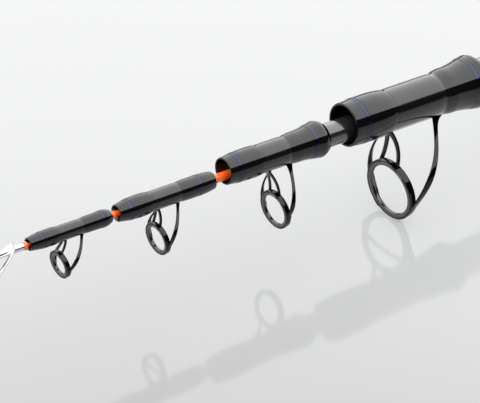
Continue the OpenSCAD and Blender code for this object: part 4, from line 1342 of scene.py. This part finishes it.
class ROD_OT_butt_end(Operator):
    """Make the end collar, the seal washer, the screw cap with its ribs, and the rubber bumper"""
    bl_idname = "rod.butt_end"
    bl_label = "Butt end"

    def execute(self, context):
        screw_r, collar_play = rod().handle.screw_r, 0.5
        for name, bore, edge, slot, body in (
                ("end_collar", screw_r + collar_play, 0.7, "alloy", "butt"),
                ("seal_washer", screw_r, 0.4, "rubber", "washer")):
            x0, x1, r = span(name)
            dress(name, lathe(rounded_bar(x0, x1, bore, r, edge), placed()), slot, body)
        self.cap()
        self.bumper()
        carry("butt_insert", "alloy")
        carry("stop_pad", "rubber")
        return {"FINISHED"}

    @staticmethod
    def bumper_seat():
        """Radius of the spigot that the bumper sits on, a share of the bumper's."""
        return span("cap_bumper")[2] * 11 / 18

    def cap(self):
        """Cap with a ribbed flange between two rims, a spigot behind and its screw in front."""
        h = rod().handle
        x0, x1, r = span("butt_cap")
        face = span("seal_washer")[0]
        flange, seat = face - h.cap_l, self.bumper_seat()
        screw_play, neck_cut, neck_l, overlap = 0.05, 0.6, 1.0, 0.5
        stem, groove = h.screw_r - screw_play, r - h.rib_d / 2
        rim, ramp = 1.6, 1.8
        between = [(flange + rim, 0.0), (flange + ramp, r - groove), (face - ramp, r - groove),
                   (face - rim, 0.0)]
        profile = [(x0, 0), (x0, seat), (flange, seat)]
        profile += [(x, r - cut) for x, cut in broken_edges(flange, face, BROKEN_EDGE, between)]
        profile += [(face, stem - neck_cut), (face + neck_l, stem - neck_cut), (face + neck_l, 0)]
        dress("butt_cap", joined(lathe(profile, placed(), closed=False),
                                 self.screw(face + overlap, x1, stem)), "seat_black", "cap")
        grown("butt_cap_ribs", rib_tree(), {
            "Place": (flange + face) / 2 * MM, "Radius": groove * MM,
            "Rib radius": h.rib_d / 2 * MM, "Rib length": (h.cap_l - 2 * ramp) * MM,
            "Ribs": h.cap_ribs, "Finish": finish("seat_black")}, "cap")

    @staticmethod
    def screw(x0, x1, r):
        """Screw with a trapezium thread that fades at both ends."""
        h = rod().handle
        depth, flank, fade_l, point, core = 0.35, 1.8, 1.0, 1.0, 0.01
        end = x1 - point

        def at(x):
            fade = max(0.0, min(1.0, (x - x0) / fade_l, (end - x) / fade_l))

            def radius(a):
                wave = math.cos(2 * math.pi * x / h.screw_pitch - a)
                crest = max(-1.0, min(1.0, flank * wave))
                return r - depth * (1 - crest) * fade - depth * (1 - fade)
            return radius

        per_turn, runout = 8, 2.0
        steps = int((end - x0 - runout) / h.screw_pitch * per_turn)
        stations = [(x, at(x)) for x in (x0 + (end - x0) * u for u in shares(steps))]
        stations = [(x0, even(core))] + stations + [(x1, even(r - point)), (x1, even(core))]
        return about_axis(stations, even_angles(count=72))

    def bumper(self):
        """Rubber dome with three rings pressed into it, which keep the butt from slipping."""
        x0, x1, r = span("cap_bumper")
        seat, seat_depth, edge = self.bumper_seat(), 4.0, 0.4
        rings, half_w, ring_depth = (5.0, 8.5, 12.0), 0.5, 0.35
        profile = []
        for a in quarter(steps=48):
            out = r * math.sin(a)
            dent = ring_depth if any(abs(out - ring) < half_w for ring in rings) else 0.0
            profile.append((x0 + (x1 - x0) / 2 * (1 - math.cos(a)) + dent, out))
        profile += [(x1 - edge, r), (x1, r - edge), (x1, seat), (x1 - seat_depth, seat),
                    (x1 - seat_depth, 0)]
        dress("cap_bumper", lathe(profile, placed(), closed=False), "rubber", "cap")


class ROD_OT_stage(Operator):
    """Set the floor, the light and the camera"""
    bl_idname = "rod.stage"
    bl_label = "Stage"

    def execute(self, context):
        self.floor()
        self.light()
        self.camera(context)
        return {"FINISHED"}

    def floor(self):
        """Sheet that the fifth section's guide stands on, tilted as the rod lies."""
        stage, g, sec = rod().stage, rod().guides, Section(FIFTH)
        up = Vector((stage.floor_pitch, -stage.floor_roll, 1)).normalized()
        axis = Matrix.Rotation(g.lean, 3, "Y") @ Vector((1, 0, 0))
        middle = sec.place((-g.ring_s[FIFTH], 0, -g.ring_drop[FIFTH]))
        hoop_r = g.hoop_d[FIFTH] / 2
        touch = (middle - up * (hoop_r * math.sqrt(1 - up.dot(axis) ** 2))) * MM
        along = Vector((1, 0, 0)).cross(up).normalized()
        across = up.cross(along)
        reach = 10.0
        corners = [touch + reach * (a * across + b * along)
                   for a, b in ((-1, -1), (1, -1), (1, 1), (-1, 1))]
        mesh = bpy.data.meshes.new("floor")
        mesh.from_pydata(corners, [], [(0, 1, 2, 3)])
        mesh.materials.append(self.sheet())
        floor = bpy.data.objects.new("floor", mesh)
        bpy.context.scene.collection.objects.link(floor)

    @staticmethod
    def sheet():
        """Milky acrylic, polished: it mirrors the rod faintly, and a painted glow lightens it and
        its shadows.
        """
        made, tree, where = material("White acrylic sheet")
        haze = add(tree, "ShaderNodeTexNoise", Vector=where, Scale=1.5, Detail=1.0)
        tint = add(tree, "ShaderNodeMix", {"data_type": "RGBA"}, _0=haze.outputs["Fac"],
                   _6=srgb("#717171"), _7=srgb("#6d6d6d"))
        # The painted glow lightens the floor and keeps the shadows pale.
        # Painted shade on the floor: the glow is weaker round a point below the picture's edge
        painted_shade_place, painted_shade_share, full_share = (1.01, 0.28, -0.1), 0.45, 1.05
        away = add(tree, "ShaderNodeVectorMath", {"operation": "DISTANCE"}, _0=where,
                   _1=painted_shade_place)
        painted_floor_glow = rod().stage.painted_floor_glow
        painted_glow = add(tree, "ShaderNodeMapRange", {"interpolation_type": "SMOOTHSTEP"},
                   Value=away.outputs["Value"], From_Min=0.1, From_Max=0.48,
                   To_Min=painted_floor_glow * painted_shade_share, To_Max=painted_floor_glow * full_share)
        return shaded(made, Base_Color=tint.outputs[2], Roughness=0.08, IOR=1.36,
                      Emission_Color=srgb("#f4f6f6"), Emission_Strength=painted_glow.outputs["Result"])

    @staticmethod
    def light():
        """Dim room with one broad panel overhead."""
        scene = bpy.context.scene
        world = bpy.data.worlds.new("Dim studio")
        world.use_nodes = True
        tree = world.node_tree
        # The camera sees a pale backdrop past the floor; the rest of the room is dim
        seen = add(tree, "ShaderNodeLightPath")
        backdrop = add(tree, "ShaderNodeBackground", Color=srgb("#e6e6e6"))
        room = tree.nodes["Background"]
        feed(tree, room, {"Color": srgb("#f2f3f5"), "Strength": 0.03})
        mixed = add(tree, "ShaderNodeMixShader", Fac=seen.outputs["Is Camera Ray"],
                    _1=room.outputs[0], _2=backdrop.outputs[0])
        feed(tree, tree.nodes["World Output"], {"Surface": mixed.outputs[0]})
        scene.world = world
        # The panel's front edge draws the sharp line along the collars
        lamp = bpy.data.lights.new("ceiling_panel", "AREA")
        lamp.shape = "RECTANGLE"
        lamp.size, lamp.size_y = rod().stage.panel_size
        lamp.energy = rod().stage.panel_power
        item = bpy.data.objects.new("ceiling_panel", lamp)
        item.location = rod().stage.panel_place
        scene.collection.objects.link(item)

    @staticmethod
    def camera(context):
        """Camera that looks along the rod from in front of its near side."""
        stage = rod().stage
        a, e, roll = stage.azimuth, stage.elevation, stage.roll
        back = Vector((math.cos(a) * math.cos(e), math.sin(a) * math.cos(e), math.sin(e)))
        right = Vector((-math.sin(a), math.cos(a), 0))
        up = back.cross(right)
        tilt_right = math.cos(roll) * right + math.sin(roll) * up
        tilt_up = -math.sin(roll) * right + math.cos(roll) * up
        turn = Matrix((tilt_right, tilt_up, back)).transposed().to_4x4()
        data = bpy.data.cameras.new("camera")
        data.lens, data.sensor_width = stage.lens, 36.0
        data.clip_start, data.clip_end = 0.01, 20.0
        camera = bpy.data.objects.new("camera", data)
        place = Vector(stage.target) + back * stage.distance
        camera.matrix_world = Matrix.Translation(place) @ turn
        context.scene.collection.objects.link(camera)
        context.scene.camera = camera
        context.scene.view_settings.view_transform = "Standard"


STEPS = (ROD_OT_stage, ROD_OT_blanks, ROD_OT_collars, ROD_OT_trims, ROD_OT_guides,
         ROD_OT_tip_top, ROD_OT_handle, ROD_OT_reel_seat, ROD_OT_butt_end)


class ROD_PT_panel(Panel):
    """Panel with the rod's steps"""
    bl_idname = "ROD_PT_panel"
    bl_label = "Telescopic rod"
    bl_space_type = "VIEW_3D"
    bl_region_type = "UI"
    bl_category = "Rod"

    def draw(self, context):
        for step in STEPS:
            self.layout.operator(step.bl_idname)


CLASSES = (RodBlankSizes, RodCollarSizes, RodGuideSizes, RodTipTopSizes, RodHandleSizes,
           RodStageSettings, RodColours, RodSettings) + STEPS + (ROD_PT_panel,)


def register():
    for item in CLASSES:
        bpy.utils.register_class(item)
    bpy.types.Scene.rod_settings = PointerProperty(type=RodSettings)


def unregister():
    del bpy.types.Scene.rod_settings
    for item in reversed(CLASSES):
        bpy.utils.unregister_class(item)


def main():
    register()
    for step in STEPS:
        group, name = step.bl_idname.split(".")
        getattr(getattr(bpy.ops, group), name)()


if __name__ == "__main__":
    main()
